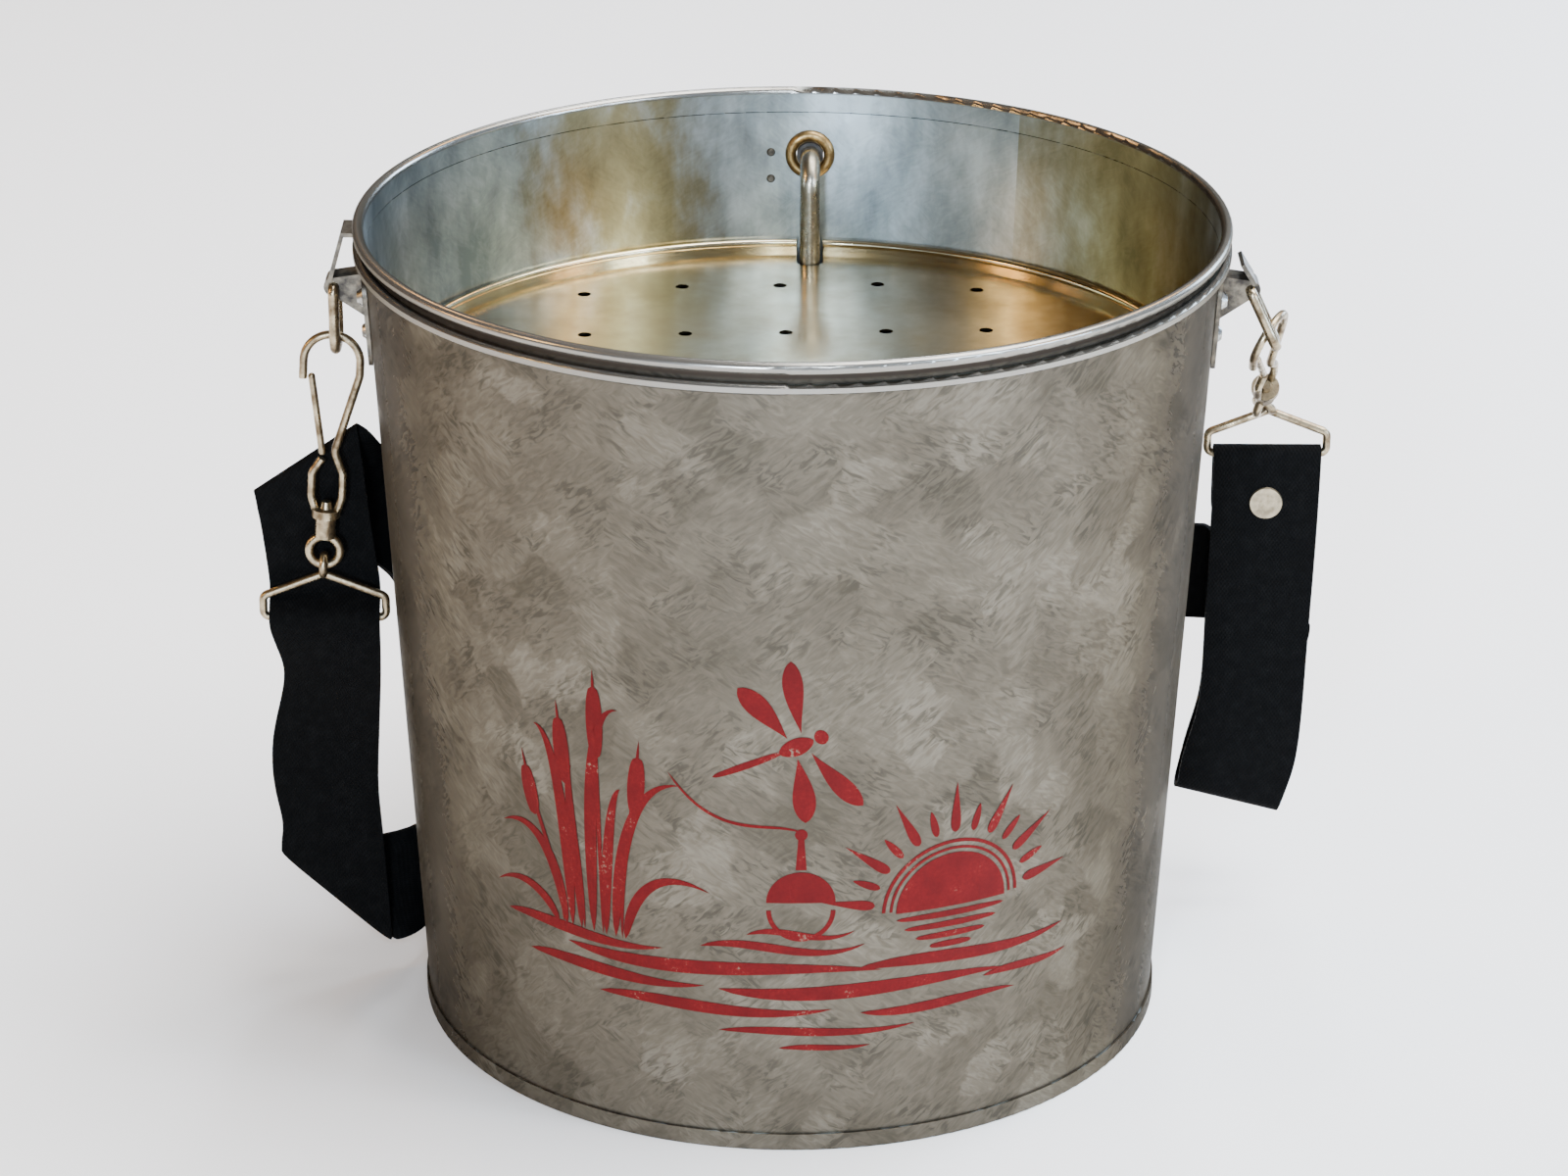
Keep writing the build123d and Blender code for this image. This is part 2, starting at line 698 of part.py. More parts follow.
def ring_apex(plane):
    """Lowest point of the coil that hangs in the eye of a swivel."""
    wire_centre = plane.from_local_coords((0, -eye_ring_drop - eye_ring_radius, 0))
    sideways = plane.x_dir
    down = (Vector(0, 0, -1) + sideways * sideways.Z).normalized()
    return wire_centre, wire_centre + down * coil_radius


def build_strap_ring(plane):
    """Triangular wire ring with a coil at its apex, hanging upright."""
    coil_centre, apex = ring_apex(plane)
    face = Plane(origin=apex, x_dir=(1, 0, 0), z_dir=(0, -1, 0))
    with BuildPart() as ring:
        with BuildLine(face) as outline:
            FilletPolyline(
                (0, 0),
                (ring_half, -ring_shoulder_drop),
                (ring_half, -ring_height),
                (-ring_half, -ring_height),
                (-ring_half, -ring_shoulder_drop),
                close=True,
                radius=ring_corner,
            )
        sweep_wire(outline.wire(), ring_wire)
        with Locations(Plane(origin=coil_centre, z_dir=plane.x_dir)):
            Torus(coil_radius, ring_wire / 2)
    return ring.part


for side, word in ((-1, "left"), (1, "right")):
    save(build_link(side, link_leans[word]), f"link_{word}")
    save(build_snap(chains[word]), f"snap_{word}")
    save(build_gate(chains[word]), f"snap_gate_{word}")
    save(build_swivel_pin(chains[word]), f"swivel_pin_{word}")
    save(build_swivel_eye(chains[word]), f"swivel_eye_{word}")
    save(build_strap_ring(chains[word]), f"strap_ring_{word}")


# ---- strap: flat webbing threaded through the left ring, folded twice, and looped on the
# right ring; both of its bands pass behind the pail and are stitched together there ---------
def ring_bar(word):
    """Centre of the straight bar of a strap ring."""
    return ring_apex(chains[word])[1] - Vector(0, 0, ring_height)


bar_left = ring_bar("left")
bar_right = ring_bar("right")
loop_radius = ring_wire / 2 + body_gap + strap_thickness / 2
half_width = strap_width / 2
left_belly_y = bar_left.Y - loop_radius - body_gap
left_front_y = bar_left.Y + strap_left_front
left_back_y = left_front_y + strap_thickness + body_gap
right_front_y = bar_right.Y - loop_radius
right_back_y = right_front_y + strap_right_back
left_x = bar_left.X - half_width
band_left_x = bar_left.X + half_width
band_right_x = bar_right.X - half_width
right_x = bar_right.X + half_width
band_half = half_width / cos(atan2(strap_climb, 1.0))
crease_left = (left_x - strap_crease_left_shift, bar_left.Z + strap_crease_left_rise)
crease_right = (band_left_x - strap_crease_right_shift, bar_left.Z + strap_crease_right_rise)
fold_left = (left_x, strap_ground_gap + strap_fold)
fold_right = (band_left_x, strap_ground_gap)
strap_back_radius = wall_radius(crease_right[1]) + strap_wall_gap


def band_level(x):
    """Height of the middle of the band that climbs behind the pail."""
    return strap_ground_gap + band_half + strap_climb * (x - band_left_x)


def descent_meets(point, rise):
    """Where a line falling from a point meets the climbing band, a rise above its middle."""
    x, z = point
    run = (z - rise - band_level(x)) / (strap_descent + strap_climb)
    return x + run, z - strap_descent * run


def tangent_corner(angle, level_y):
    """Where the tangent of the back arc at an angle meets a line of constant y."""
    run = (strap_back_radius * sin(radians(angle)) - level_y) / cos(radians(angle))
    return strap_back_radius * cos(radians(angle)) + run * sin(radians(angle)), level_y


def strap_layer(plane, points, radii, width):
    """Webbing along a path drawn on a plane, its width across that plane."""
    with BuildLine(plane) as path:
        FilletPolyline(*points, radius=radii)
    wire = path.wire()
    with BuildSketch(Plane(origin=wire @ 0, x_dir=plane.z_dir, z_dir=wire % 0)) as section:
        Rectangle(width, strap_thickness)
    sweep(sections=section.sketch, path=wire)


def strap_fold_roll(start, end):
    """Rounded edge where the webbing folds flat on itself, along a slanting crease."""
    middle_y = (left_front_y + left_back_y) / 2
    roll_radius = (left_back_y - left_front_y + strap_thickness) / 2
    along = Vector(end[0] - start[0], 0, end[1] - start[1])
    with BuildSketch(Plane(origin=(start[0], middle_y, start[1]), z_dir=along)) as section:
        Circle(roll_radius)
    extrude(section.sketch, amount=along.length)


# left end: up from the fold at the foot, through the ring, and up behind the swivel
side_plane = Plane(origin=(bar_left.X, 0, 0), x_dir=(0, 1, 0), z_dir=(1, 0, 0))
thread_slope = sin(radians(strap_thread_angle)) / cos(radians(strap_thread_angle))
thread_level = bar_left.Z + strap_thread_rise
with BuildPart() as left_strip:
    strap_layer(
        side_plane,
        (
            (left_front_y, 0),
            (left_front_y, strap_left_foot_level),
            (left_belly_y, strap_left_belly_level),
            (left_belly_y, thread_level + thread_slope * (left_belly_y - bar_left.Y)),
            (left_front_y, thread_level + thread_slope * (left_front_y - bar_left.Y)),
            (left_front_y, pail_height),
        ),
        strap_left_bends,
        2 * strap_width,
    )
    with BuildSketch(Plane.XZ.offset(-pail_height)):
        with BuildLine():
            Polyline(
                fold_left,
                (left_x, bar_left.Z + strap_thread_rise),
                crease_left,
                crease_right,
                (band_left_x, bar_left.Z + strap_thread_rise),
                fold_right,
                close=True,
            )
        make_face()
    extrude(amount=2 * pail_height, mode=Mode.INTERSECT)

# bands behind the pail: plan outline cut to the climbing band and the falling one
with BuildPart() as back_bands:
    with BuildSketch(Plane.XY):
        with BuildLine():
            left_arc = Vector(strap_back_radius, 0).rotate(Axis.Z, strap_arc_left)
            right_arc = Vector(strap_back_radius, 0).rotate(Axis.Z, strap_arc_right)
            FilletPolyline(
                (crease_left[0], left_back_y),
                tangent_corner(strap_arc_left, left_back_y),
                left_arc,
                radius=strap_turn_radius,
            )
            ThreePointArc(left_arc, (0, strap_back_radius), right_arc)
            FilletPolyline(
                right_arc,
                tangent_corner(strap_arc_right, right_back_y),
                (right_x, right_back_y),
                radius=strap_turn_radius,
            )
        trace(line_width=strap_thickness)
    extrude(amount=pail_height)
    with BuildSketch(Plane.XZ.offset(-2 * strap_back_radius)):
        with BuildLine():
            Polyline(
                fold_left,
                fold_right,
                (band_right_x, band_level(band_right_x) - band_half),
                (right_x, band_level(band_right_x) - band_half),
                (band_right_x, band_level(band_right_x) + band_half),
                (band_left_x, band_level(band_left_x) + band_half),
                close=True,
            )
        make_face()
        with BuildLine():
            Polyline(
                crease_left,
                crease_right,
                descent_meets(crease_right, 0),
                descent_meets(crease_left, -band_half),
                close=True,
            )
        make_face()
    extrude(amount=4 * strap_back_radius, mode=Mode.INTERSECT)

# right end: tail, over the bar, down the front, a kink, the turn at the foot and up the back
kink = Vector(bar_right.X, 0, strap_right_kink)
lean_down = Vector(0, 0, -1).rotate(Axis.Y, strap_right_lean)
kink_overlap = half_width * sin(radians(strap_right_lean)) + strap_thickness
foot_reach = (strap_right_kink - strap_right_foot) / cos(radians(strap_right_lean))
lean_plane = Plane(origin=kink, x_dir=(0, 1, 0), z_dir=Vector(0, 1, 0).cross(lean_down * -1))
with BuildPart() as strap:
    add(left_strip.part)
    add(back_bands.part)
    strap_fold_roll(crease_left, crease_right)
    strap_fold_roll(fold_left, fold_right)
    strap_layer(
        Plane(origin=(bar_right.X, 0, 0), x_dir=(0, 1, 0), z_dir=(1, 0, 0)),
        (
            (bar_right.Y + loop_radius, bar_right.Z - strap_tail),
            (bar_right.Y + loop_radius, bar_right.Z + loop_radius),
            (right_front_y, bar_right.Z + loop_radius),
            (right_front_y, strap_right_kink - kink_overlap),
        ),
        strap_right_bends,
        strap_width,
    )
    strap_layer(
        lean_plane,
        (
            (right_front_y, 0),
            (right_front_y, -foot_reach),
            (right_back_y, -foot_reach),
            (right_back_y, 0),
        ),
        strap_foot_bends,
        strap_width,
    )
    with BuildSketch(Plane(origin=(bar_right.X, right_back_y, strap_right_kink - kink_overlap))):
        Rectangle(strap_width, strap_thickness)
    extrude(amount=band_level(band_right_x) - band_half - strap_right_kink + kink_overlap)
    with BuildSketch(Plane(origin=(bar_right.X, 0, bar_right.Z - strap_rivet_drop), z_dir=(0, 1, 0))):
        Circle(strap_rivet_diameter / 2 + running_gap)
    extrude(amount=bar_right.Y + loop_radius + strap_thickness, mode=Mode.SUBTRACT)
save(strap.part, "strap")

# ---- rivet that closes the strap's loop on the right ring --------------------------------
rivet_front = right_front_y - strap_thickness / 2 - seat_gap
rivet_back = bar_right.Y + loop_radius + strap_thickness / 2 + seat_gap
rivet_level = bar_right.Z - strap_rivet_drop
with BuildPart() as strap_rivet:
    with BuildSketch(Plane(origin=(bar_right.X, rivet_front, rivet_level), z_dir=(0, -1, 0))):
        Circle(strap_rivet_head / 2)
    extrude(amount=strap_rivet_cap, taper=25)
    with BuildSketch(Plane(origin=(bar_right.X, rivet_front, rivet_level), z_dir=(0, 1, 0))):
        Circle(strap_rivet_diameter / 2)
    extrude(amount=rivet_back - rivet_front)
    with BuildSketch(Plane(origin=(bar_right.X, rivet_back, rivet_level), z_dir=(0, 1, 0))):
        Circle(strap_rivet_back_diameter / 2)
    extrude(amount=strap_rivet_back_cap)
save(strap_rivet.part, "strap_rivet")
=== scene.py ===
import math

import bpy
from mathutils import Matrix, Vector
from mathutils.geometry import interpolate_bezier


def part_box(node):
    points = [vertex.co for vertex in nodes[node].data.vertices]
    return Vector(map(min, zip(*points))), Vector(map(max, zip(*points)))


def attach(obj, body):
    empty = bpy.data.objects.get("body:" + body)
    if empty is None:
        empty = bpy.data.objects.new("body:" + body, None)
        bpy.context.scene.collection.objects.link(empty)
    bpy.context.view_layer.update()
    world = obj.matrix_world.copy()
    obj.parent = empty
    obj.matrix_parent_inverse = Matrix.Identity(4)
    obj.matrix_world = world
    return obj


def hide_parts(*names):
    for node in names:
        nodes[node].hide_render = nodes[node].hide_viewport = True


# Aerated bait bucket: a galvanised pail with a perforated tray, an air tube and a webbing strap.
# Metres, +Z up, the same frame as the CAD nodes. The ears are on X, the print faces -Y.

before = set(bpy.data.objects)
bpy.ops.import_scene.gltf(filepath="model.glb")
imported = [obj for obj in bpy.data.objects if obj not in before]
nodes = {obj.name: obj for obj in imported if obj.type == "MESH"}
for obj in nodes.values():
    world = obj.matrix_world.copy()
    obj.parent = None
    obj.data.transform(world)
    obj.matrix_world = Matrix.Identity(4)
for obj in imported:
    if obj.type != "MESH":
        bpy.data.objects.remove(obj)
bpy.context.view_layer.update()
bpy.ops.object.select_all(action="DESELECT")
mm = 0.001

# the tapered wall, as the CAD has it
wall = {"baseRadius": 106.6 * mm, "taper": 0.0566}


def wallRadius(level):
    return wall["baseRadius"] + wall["taper"] * level


# camera, floor and light

camera = {
    "distance": 1.3989,
    "aimHeight": 0.1198,
    "elevation": 22.93,
    "lens": 111.45,
    "pan": 0.09,
    "tilt": 0.16,
    "roll": 0.17,
    "sensor": 36,
    "clip": (0.05, 20),
}


def addCamera():
    up = math.radians(camera["elevation"])
    place = (
        0,
        -camera["distance"] * math.cos(up),
        camera["aimHeight"] + camera["distance"] * math.sin(up),
    )
    bpy.ops.object.camera_add(location=place)
    eye = bpy.context.object
    eye.name = "studioCamera"
    turn = Matrix.Rotation(math.radians(camera["pan"]), 3, "Z")
    turn = turn @ Matrix.Rotation(math.radians(90 + camera["tilt"]) - up, 3, "X")
    turn = turn @ Matrix.Rotation(math.radians(camera["roll"]), 3, "Z")
    eye.rotation_euler = turn.to_euler()
    eye.data.lens = camera["lens"]
    eye.data.sensor_width = camera["sensor"]
    eye.data.clip_start, eye.data.clip_end = camera["clip"]
    bpy.context.scene.camera = eye


def hexColour(text):
    # sRGB hex to the linear colour that the shaders take
    def linear(c):
        return c / 12.92 if c <= 0.04045 else ((c + 0.055) / 1.055) ** 2.4

    return tuple(linear(int(text[i : i + 2], 16) / 255) for i in (0, 2, 4)) + (1.0,)


studio = {
    "floorSize": 9.0,
    "floorColour": "F8F7F4",
    "floorRough": 0.9,
    # the room round the studio table: warm and dim on the left, cool and bright on the right
    "skyLeft": "4A3414",
    "skyMiddle": "8F8A80",
    "skyRight": "BED4EC",
    "skyStrength": 0.8,
    # name, place, aim, width, height, power, colour
    "lamps": [
        ("overhead", (0.9, 0.0, 2.3), (0, 0, 0), 1.9, 1.9, 150, "FBFCFF"),
        ("warmLeft", (-1.7, 0.0, 0.52), (0, 0, 0.18), 0.3, 0.4, 5, "FFC684"),
        ("sideRight", (1.7, -1.5, 0.9), (0, 0, 0.1), 0.4, 0.6, 24, "D2E6FF"),
        ("coolRight", (1.3, 1.2, 0.6), (0, 0, 0.18), 0.6, 0.6, 38, "C0DCFF"),
        ("coolSide", (1.9, -0.8, 0.5), (0, 0, 0.12), 0.4, 0.6, 27, "BCDAFF"),
        # these three are seen in the tray, by way of the wall behind it
        ("frontHigh", (0.1, -2.1, 1.25), (0, 0, 0.2), 0.35, 0.35, 20, "DCECFF"),
        ("sideHighRight", (2.0, -0.75, 1.25), (0, 0, 0.2), 0.35, 0.35, 9, "FFCE88"),
        ("sideHighLeft", (-2.0, -0.75, 1.25), (0, 0, 0.2), 0.35, 0.35, 12, "FFCE88"),
        ("front", (-0.4, -2.2, 0.63), (0, 0, 0.19), 0.3, 0.3, 66, "D6E8FF"),
        ("backMiddle", (0.12, 1.6, 1.75), (0, 0, 0.18), 0.3, 0.45, 12, "E8F3FF"),
        ("backLeft", (-1.0, 1.4, 1.65), (0, 0, 0.18), 0.4, 0.4, 8, "FFC27C"),
        ("backRight", (1.1, 1.3, 1.65), (0, 0, 0.18), 0.4, 0.4, 8, "FFC67C"),
    ],
}


def addNode(tree, kind, settings=None, inputs=None):
    node = tree.nodes.new(kind)
    for name, value in (settings or {}).items():
        if name == "ramp":
            stops = node.color_ramp.elements
            while len(stops) < len(value):
                stops.new(0.5)
            for stop, (place, colour) in zip(stops, value):
                stop.position = place
                stop.color = colour
        else:
            setattr(node, name, value)
    for name, value in (inputs or {}).items():
        if isinstance(value, bpy.types.NodeSocket):
            tree.links.new(value, node.inputs[name])
        else:
            node.inputs[name].default_value = value
    return node


def newMaterial(name):
    material = bpy.data.materials.new(name)
    material.use_nodes = True
    tree = material.node_tree
    tree.nodes.clear()
    shader = addNode(tree, "ShaderNodeBsdfPrincipled")
    addNode(tree, "ShaderNodeOutputMaterial", inputs={"Surface": shader.outputs[0]})
    return material, tree, shader


def addStudio():
    world = bpy.data.worlds.new("studioSky")
    bpy.context.scene.world = world
    world.use_nodes = True
    sky = world.node_tree.nodes["Background"]
    sky.inputs["Strength"].default_value = studio["skyStrength"]
    tree = world.node_tree
    ways = addNode(
        tree,
        "ShaderNodeSeparateXYZ",
        inputs={0: addNode(tree, "ShaderNodeTexCoord").outputs["Generated"]},
    )
    across = addNode(
        tree, "ShaderNodeMapRange", inputs={0: ways.outputs[0], 1: -1.0, 2: 1.0, 3: 0.0, 4: 1.0}
    )
    wash = addNode(
        tree,
        "ShaderNodeValToRGB",
        {
            "ramp": [
                (0.15, hexColour(studio["skyLeft"])),
                (0.5, hexColour(studio["skyMiddle"])),
                (0.85, hexColour(studio["skyRight"])),
            ]
        },
        {0: across.outputs[0]},
    )
    tree.links.new(wash.outputs[0], sky.inputs["Color"])
    for name, place, aim, width, height, power, colour in studio["lamps"]:
        bpy.ops.object.light_add(type="AREA", location=place)
        lamp = bpy.context.object
        lamp.name = name
        lamp.rotation_euler = (Vector(aim) - Vector(place)).to_track_quat("-Z", "Y").to_euler()
        lamp.data.shape = "RECTANGLE"
        lamp.data.size = width
        lamp.data.size_y = height
        lamp.data.energy = power
        lamp.data.color = hexColour(colour)[:3]
    bpy.ops.mesh.primitive_plane_add(size=studio["floorSize"])
    floor = bpy.context.object
    floor.name = "floor"
    material, tree, shader = newMaterial("palePaperFloor")
    shader.inputs["Base Color"].default_value = hexColour(studio["floorColour"])
    shader.inputs["Roughness"].default_value = studio["floorRough"]
    floor.data.materials.append(material)


addCamera()
addStudio()
print("camera, floor and light made")


# materials


def addMath(tree, operation, *values):
    return addNode(
        tree, "ShaderNodeMath", {"operation": operation}, dict(enumerate(values))
    ).outputs[0]


def galvanisedSheet():
    # Hot-dip galvanised steel, weathered: spangles about 14 mm across, each with its own grey and
    # its own grain of feathery strokes, soft clouds of oxide and drifts of dark flecks. The
    # strokes are drawn a little coarse so that they show. Satin outside, smoother inside, and
    # darkened with painted shade in the groove between the rolled rim and the stop bead. The straw
    # bands inside are partly painted light: they stand for tarnish and for warm tones that bare
    # zinc mirrors.
    # The pattern lies on the wall's own unrolled surface, whose ends meet at the lock seam.
    size = {
        "spangle": 14 * mm,
        "ragged": 7 * mm,
        "raggedReach": 12 * mm,
        "stroke": 1.7 * mm,
        "cloud": 30 * mm,
        "drift": 17 * mm,
        "stain": 16 * mm,
        "stainReach": 90 * mm,
        "dent": 36 * mm,
        "around": 113 * mm,
    }
    groove = {"top": 234.3 * mm, "foot": 231.6 * mm, "fade": 1.0 * mm, "reach": 120.6 * mm}
    rub = {
        "from": 0.6 * mm,
        "to": 1.1 * mm,
        "low": 235.2 * mm,
        "high": 236.2 * mm,
        "above": 220 * mm,
    }
    seamTurn = 124.5  # brings the two ends of the unrolled wall to the lock seam
    strawBands = ((116, 27), (30, 60))  # angle of each in degrees, half its width in mm
    material, tree, shader = newMaterial("galvanisedSteel")
    place = addNode(tree, "ShaderNodeTexCoord").outputs["Object"]
    turned = addNode(
        tree,
        "ShaderNodeMapping",
        {"vector_type": "POINT"},
        {0: place, 2: (0.0, 0.0, math.radians(seamTurn))},
    )
    spot = addNode(tree, "ShaderNodeSeparateXYZ", inputs={0: turned.outputs[0]}).outputs
    turn = addMath(tree, "ARCTAN2", spot[1], spot[0])
    unrolled = addMath(tree, "MULTIPLY", turn, size["around"])
    flat = addNode(
        tree, "ShaderNodeVectorMath", {"operation": "MULTIPLY"}, {0: place, 1: (1.0, 1.0, 0.0)}
    )
    facing = addNode(
        tree,
        "ShaderNodeVectorMath",
        {"operation": "DOT_PRODUCT"},
        {0: flat.outputs[0], 1: addNode(tree, "ShaderNodeNewGeometry").outputs["Normal"]},
    ).outputs["Value"]
    inside = addMath(tree, "LESS_THAN", facing, 0.0)
    sheet = addNode(tree, "ShaderNodeCombineXYZ", inputs={0: unrolled, 1: spot[2], 2: inside})
    # ragged spangle borders
    wobble = addNode(
        tree,
        "ShaderNodeTexNoise",
        inputs={"Vector": sheet.outputs[0], "Scale": 1 / size["ragged"], "Detail": 3.0},
    )
    bent = addNode(
        tree,
        "ShaderNodeVectorMath",
        {"operation": "MULTIPLY_ADD"},
        {
            0: wobble.outputs["Color"],
            1: (size["raggedReach"], size["raggedReach"], 0.0),
            2: sheet.outputs[0],
        },
    )
    spangle = addNode(
        tree,
        "ShaderNodeTexVoronoi",
        {"feature": "SMOOTH_F1", "voronoi_dimensions": "2D"},
        {"Vector": bent.outputs[0], "Scale": 1 / size["spangle"], "Smoothness": 0.3},
    )
    tint = addNode(tree, "ShaderNodeSeparateColor", inputs={0: spangle.outputs["Color"]}).outputs
    # strokes lean one way in some spangles and the other way in the rest
    strokes = []
    for lean in (38, -31):
        grain = addNode(
            tree,
            "ShaderNodeMapping",
            {"vector_type": "TEXTURE"},
            {0: sheet.outputs[0], 2: (0.0, 0.0, math.radians(lean)), 3: (3.2, 1.0, 1.0)},
        )
        strokes.append(
            addNode(
                tree,
                "ShaderNodeTexNoise",
                inputs={
                    "Vector": grain.outputs[0],
                    "Scale": 1 / size["stroke"],
                    "Detail": 3.0,
                    "Distortion": 1.2,
                },
            ).outputs["Fac"]
        )
    way = addNode(
        tree, "ShaderNodeMapRange", inputs={0: tint[1], 1: 0.44, 2: 0.56, 3: 0.0, 4: 1.0}
    )
    stroke = addNode(
        tree,
        "ShaderNodeMix",
        {"data_type": "FLOAT"},
        {0: way.outputs[0], 2: strokes[0], 3: strokes[1]},
    )
    cloud = addNode(
        tree,
        "ShaderNodeTexNoise",
        inputs={
            "Vector": sheet.outputs[0],
            "Scale": 1 / size["cloud"],
            "Detail": 4.0,
            "Roughness": 0.55,
        },
    )
    ground = addNode(
        tree, "ShaderNodeMix", {"data_type": "FLOAT"}, {0: 0.68, 2: tint[0], 3: stroke.outputs[0]}
    )
    mottle = addNode(
        tree,
        "ShaderNodeMix",
        {"data_type": "FLOAT"},
        {0: 0.4, 2: ground.outputs[0], 3: cloud.outputs["Fac"]},
    ).outputs[0]
    # stains run down the wall, so they are longer than wide
    streak = addNode(
        tree,
        "ShaderNodeMapping",
        {"vector_type": "TEXTURE"},
        {0: sheet.outputs[0], 3: (1.0, 2.2, 1.0)},
    )
    smudge = addNode(
        tree,
        "ShaderNodeTexNoise",
        inputs={
            "Vector": streak.outputs[0],
            "Scale": 1 / size["stain"],
            "Detail": 5.0,
            "Roughness": 0.6,
        },
    )
    calm = addNode(
        tree,
        "ShaderNodeMix",
        {"data_type": "FLOAT"},
        {0: 0.85, 2: stroke.outputs[0], 3: smudge.outputs["Fac"]},
    ).outputs[0]
    outer = addNode(
        tree,
        "ShaderNodeValToRGB",
        {
            "ramp": [
                (0.34, hexColour("4B463C")),
                (0.45, hexColour("565046")),
                (0.56, hexColour("605A4F")),
                (0.68, hexColour("6F695E")),
            ]
        },
        {0: mottle},
    )
    # dark feathery flecks, gathered in drifts
    drift = addNode(
        tree,
        "ShaderNodeTexNoise",
        inputs={"Vector": bent.outputs[0], "Scale": 1 / size["drift"], "Detail": 3.0},
    )
    fleck = addMath(
        tree,
        "MULTIPLY",
        addNode(
            tree,
            "ShaderNodeMapRange",
            inputs={0: stroke.outputs[0], 1: 0.38, 2: 0.52, 3: 0.56, 4: 0.0},
        ).outputs[0],
        addNode(
            tree,
            "ShaderNodeMapRange",
            inputs={0: drift.outputs["Fac"], 1: 0.47, 2: 0.6, 3: 0.0, 4: 1.0},
        ).outputs[0],
    )
    flecked = addNode(
        tree,
        "ShaderNodeMix",
        {"data_type": "RGBA"},
        {0: fleck, 6: outer.outputs[0], 7: hexColour("3C3932")},
    )
    inner = addNode(
        tree,
        "ShaderNodeValToRGB",
        {
            "ramp": [
                (0.35, hexColour("7C8587")),
                (0.5, hexColour("A0A9AB")),
                (0.65, hexColour("C6D0D2")),
            ]
        },
        {0: calm},
    )
    # broad ragged straw bands inside, from rim to floor: partly tarnish and partly a painted
    # reflection of warm light; they are part of the colour, so they stay where they are from
    # every side, as a reflection would not
    straw = 0.0
    for angle, spread in strawBands:
        middle = math.radians((angle + seamTurn + 180) % 360 - 180) * size["around"]
        away = addMath(tree, "ABSOLUTE", addMath(tree, "SUBTRACT", unrolled, middle))
        uneven = addMath(tree, "SUBTRACT", smudge.outputs["Fac"], 0.5)
        ragged = addMath(tree, "MULTIPLY_ADD", uneven, size["stainReach"], away)
        band = addNode(
            tree,
            "ShaderNodeMapRange",
            {"interpolation_type": "SMOOTHSTEP"},
            {0: ragged, 1: 1.3 * spread * mm, 2: 0.1 * spread * mm, 3: 0.0, 4: 1.0},
        )
        straw = addMath(tree, "MAXIMUM", straw, band.outputs[0])
    brassy = addNode(
        tree,
        "ShaderNodeValToRGB",
        {"ramp": [(0.36, hexColour("827A5C")), (0.64, hexColour("B4AA82"))]},
        {0: calm},
    )
    strawTarnishAndReflection = addNode(
        tree,
        "ShaderNodeMix",
        {"data_type": "RGBA"},
        {0: straw, 6: inner.outputs[0], 7: brassy.outputs[0]},
    ).outputs[2]
    colour = addNode(
        tree,
        "ShaderNodeMix",
        {"data_type": "RGBA"},
        {0: inside, 6: flecked.outputs[2], 7: strawTarnishAndReflection},
    )
    # painted shade in the groove under the rolled rim, outside only
    reach = addNode(tree, "ShaderNodeVectorMath", {"operation": "LENGTH"}, {0: flat.outputs[0]})
    grooveShade = addMath(tree, "GREATER_THAN", facing, 0.0)
    for value, start, end in (
        (spot[2], groove["top"], groove["top"] - groove["fade"]),
        (spot[2], groove["foot"], groove["foot"] + groove["fade"]),
        (reach.outputs["Value"], groove["reach"] + groove["fade"], groove["reach"]),
    ):
        part = addNode(
            tree, "ShaderNodeMapRange", inputs={0: value, 1: start, 2: end, 3: 0.0, 4: 1.0}
        )
        grooveShade = addMath(tree, "MULTIPLY", grooveShade, part.outputs[0])
    grooveShaded = addNode(
        tree,
        "ShaderNodeMix",
        {"data_type": "RGBA"},
        {0: grooveShade, 6: colour.outputs[2], 7: hexColour("332D28")},
    )
    # what stands proud of the wall is rubbed bright: the rim, the bead and the bottom seam
    level = addNode(tree, "ShaderNodeSeparateXYZ", inputs={0: place}).outputs[2]
    wallAt = addMath(tree, "MULTIPLY_ADD", level, wall["taper"], wall["baseRadius"])
    standing = addMath(tree, "SUBTRACT", reach.outputs["Value"], wallAt)
    proud = addNode(
        tree,
        "ShaderNodeMapRange",
        inputs={0: standing, 1: rub["from"], 2: rub["to"], 3: 0.0, 4: 1.0},
    )
    crown = addNode(
        tree,
        "ShaderNodeMapRange",
        inputs={0: level, 1: rub["low"], 2: rub["high"], 3: 0.0, 4: 1.0},
    )
    upper = addMath(tree, "GREATER_THAN", level, rub["above"])
    rubbed = addMath(
        tree, "MAXIMUM", addMath(tree, "MULTIPLY", proud.outputs[0], upper), crown.outputs[0]
    )
    bright = addNode(
        tree,
        "ShaderNodeMix",
        {"data_type": "RGBA"},
        {0: rubbed, 6: grooveShaded.outputs[2], 7: hexColour("8E8A82")},
    )
    outerRough = addNode(
        tree, "ShaderNodeMapRange", inputs={0: mottle, 1: 0.3, 2: 0.7, 3: 0.46, 4: 0.34}
    )
    sideRough = addNode(
        tree,
        "ShaderNodeMix",
        {"data_type": "FLOAT"},
        {0: inside, 2: outerRough.outputs[0], 3: 0.3},
    )
    rough = addNode(
        tree,
        "ShaderNodeMix",
        {"data_type": "FLOAT"},
        {0: rubbed, 2: sideRough.outputs[0], 3: 0.24},
    )
    # shallow waves that the rolling leaves in the sheet
    dent = addNode(
        tree,
        "ShaderNodeTexNoise",
        inputs={"Vector": place, "Scale": 1 / size["dent"], "Detail": 0.0},
    )
    lift = addNode(
        tree,
        "ShaderNodeBump",
        inputs={"Strength": 0.3, "Distance": 0.5 * mm, "Height": dent.outputs["Fac"]},
    )
    for socket, value in (
        ("Base Color", bright.outputs[2]),
        ("Roughness", rough.outputs[0]),
        ("Normal", lift.outputs[0]),
    ):
        tree.links.new(value, shader.inputs[socket])
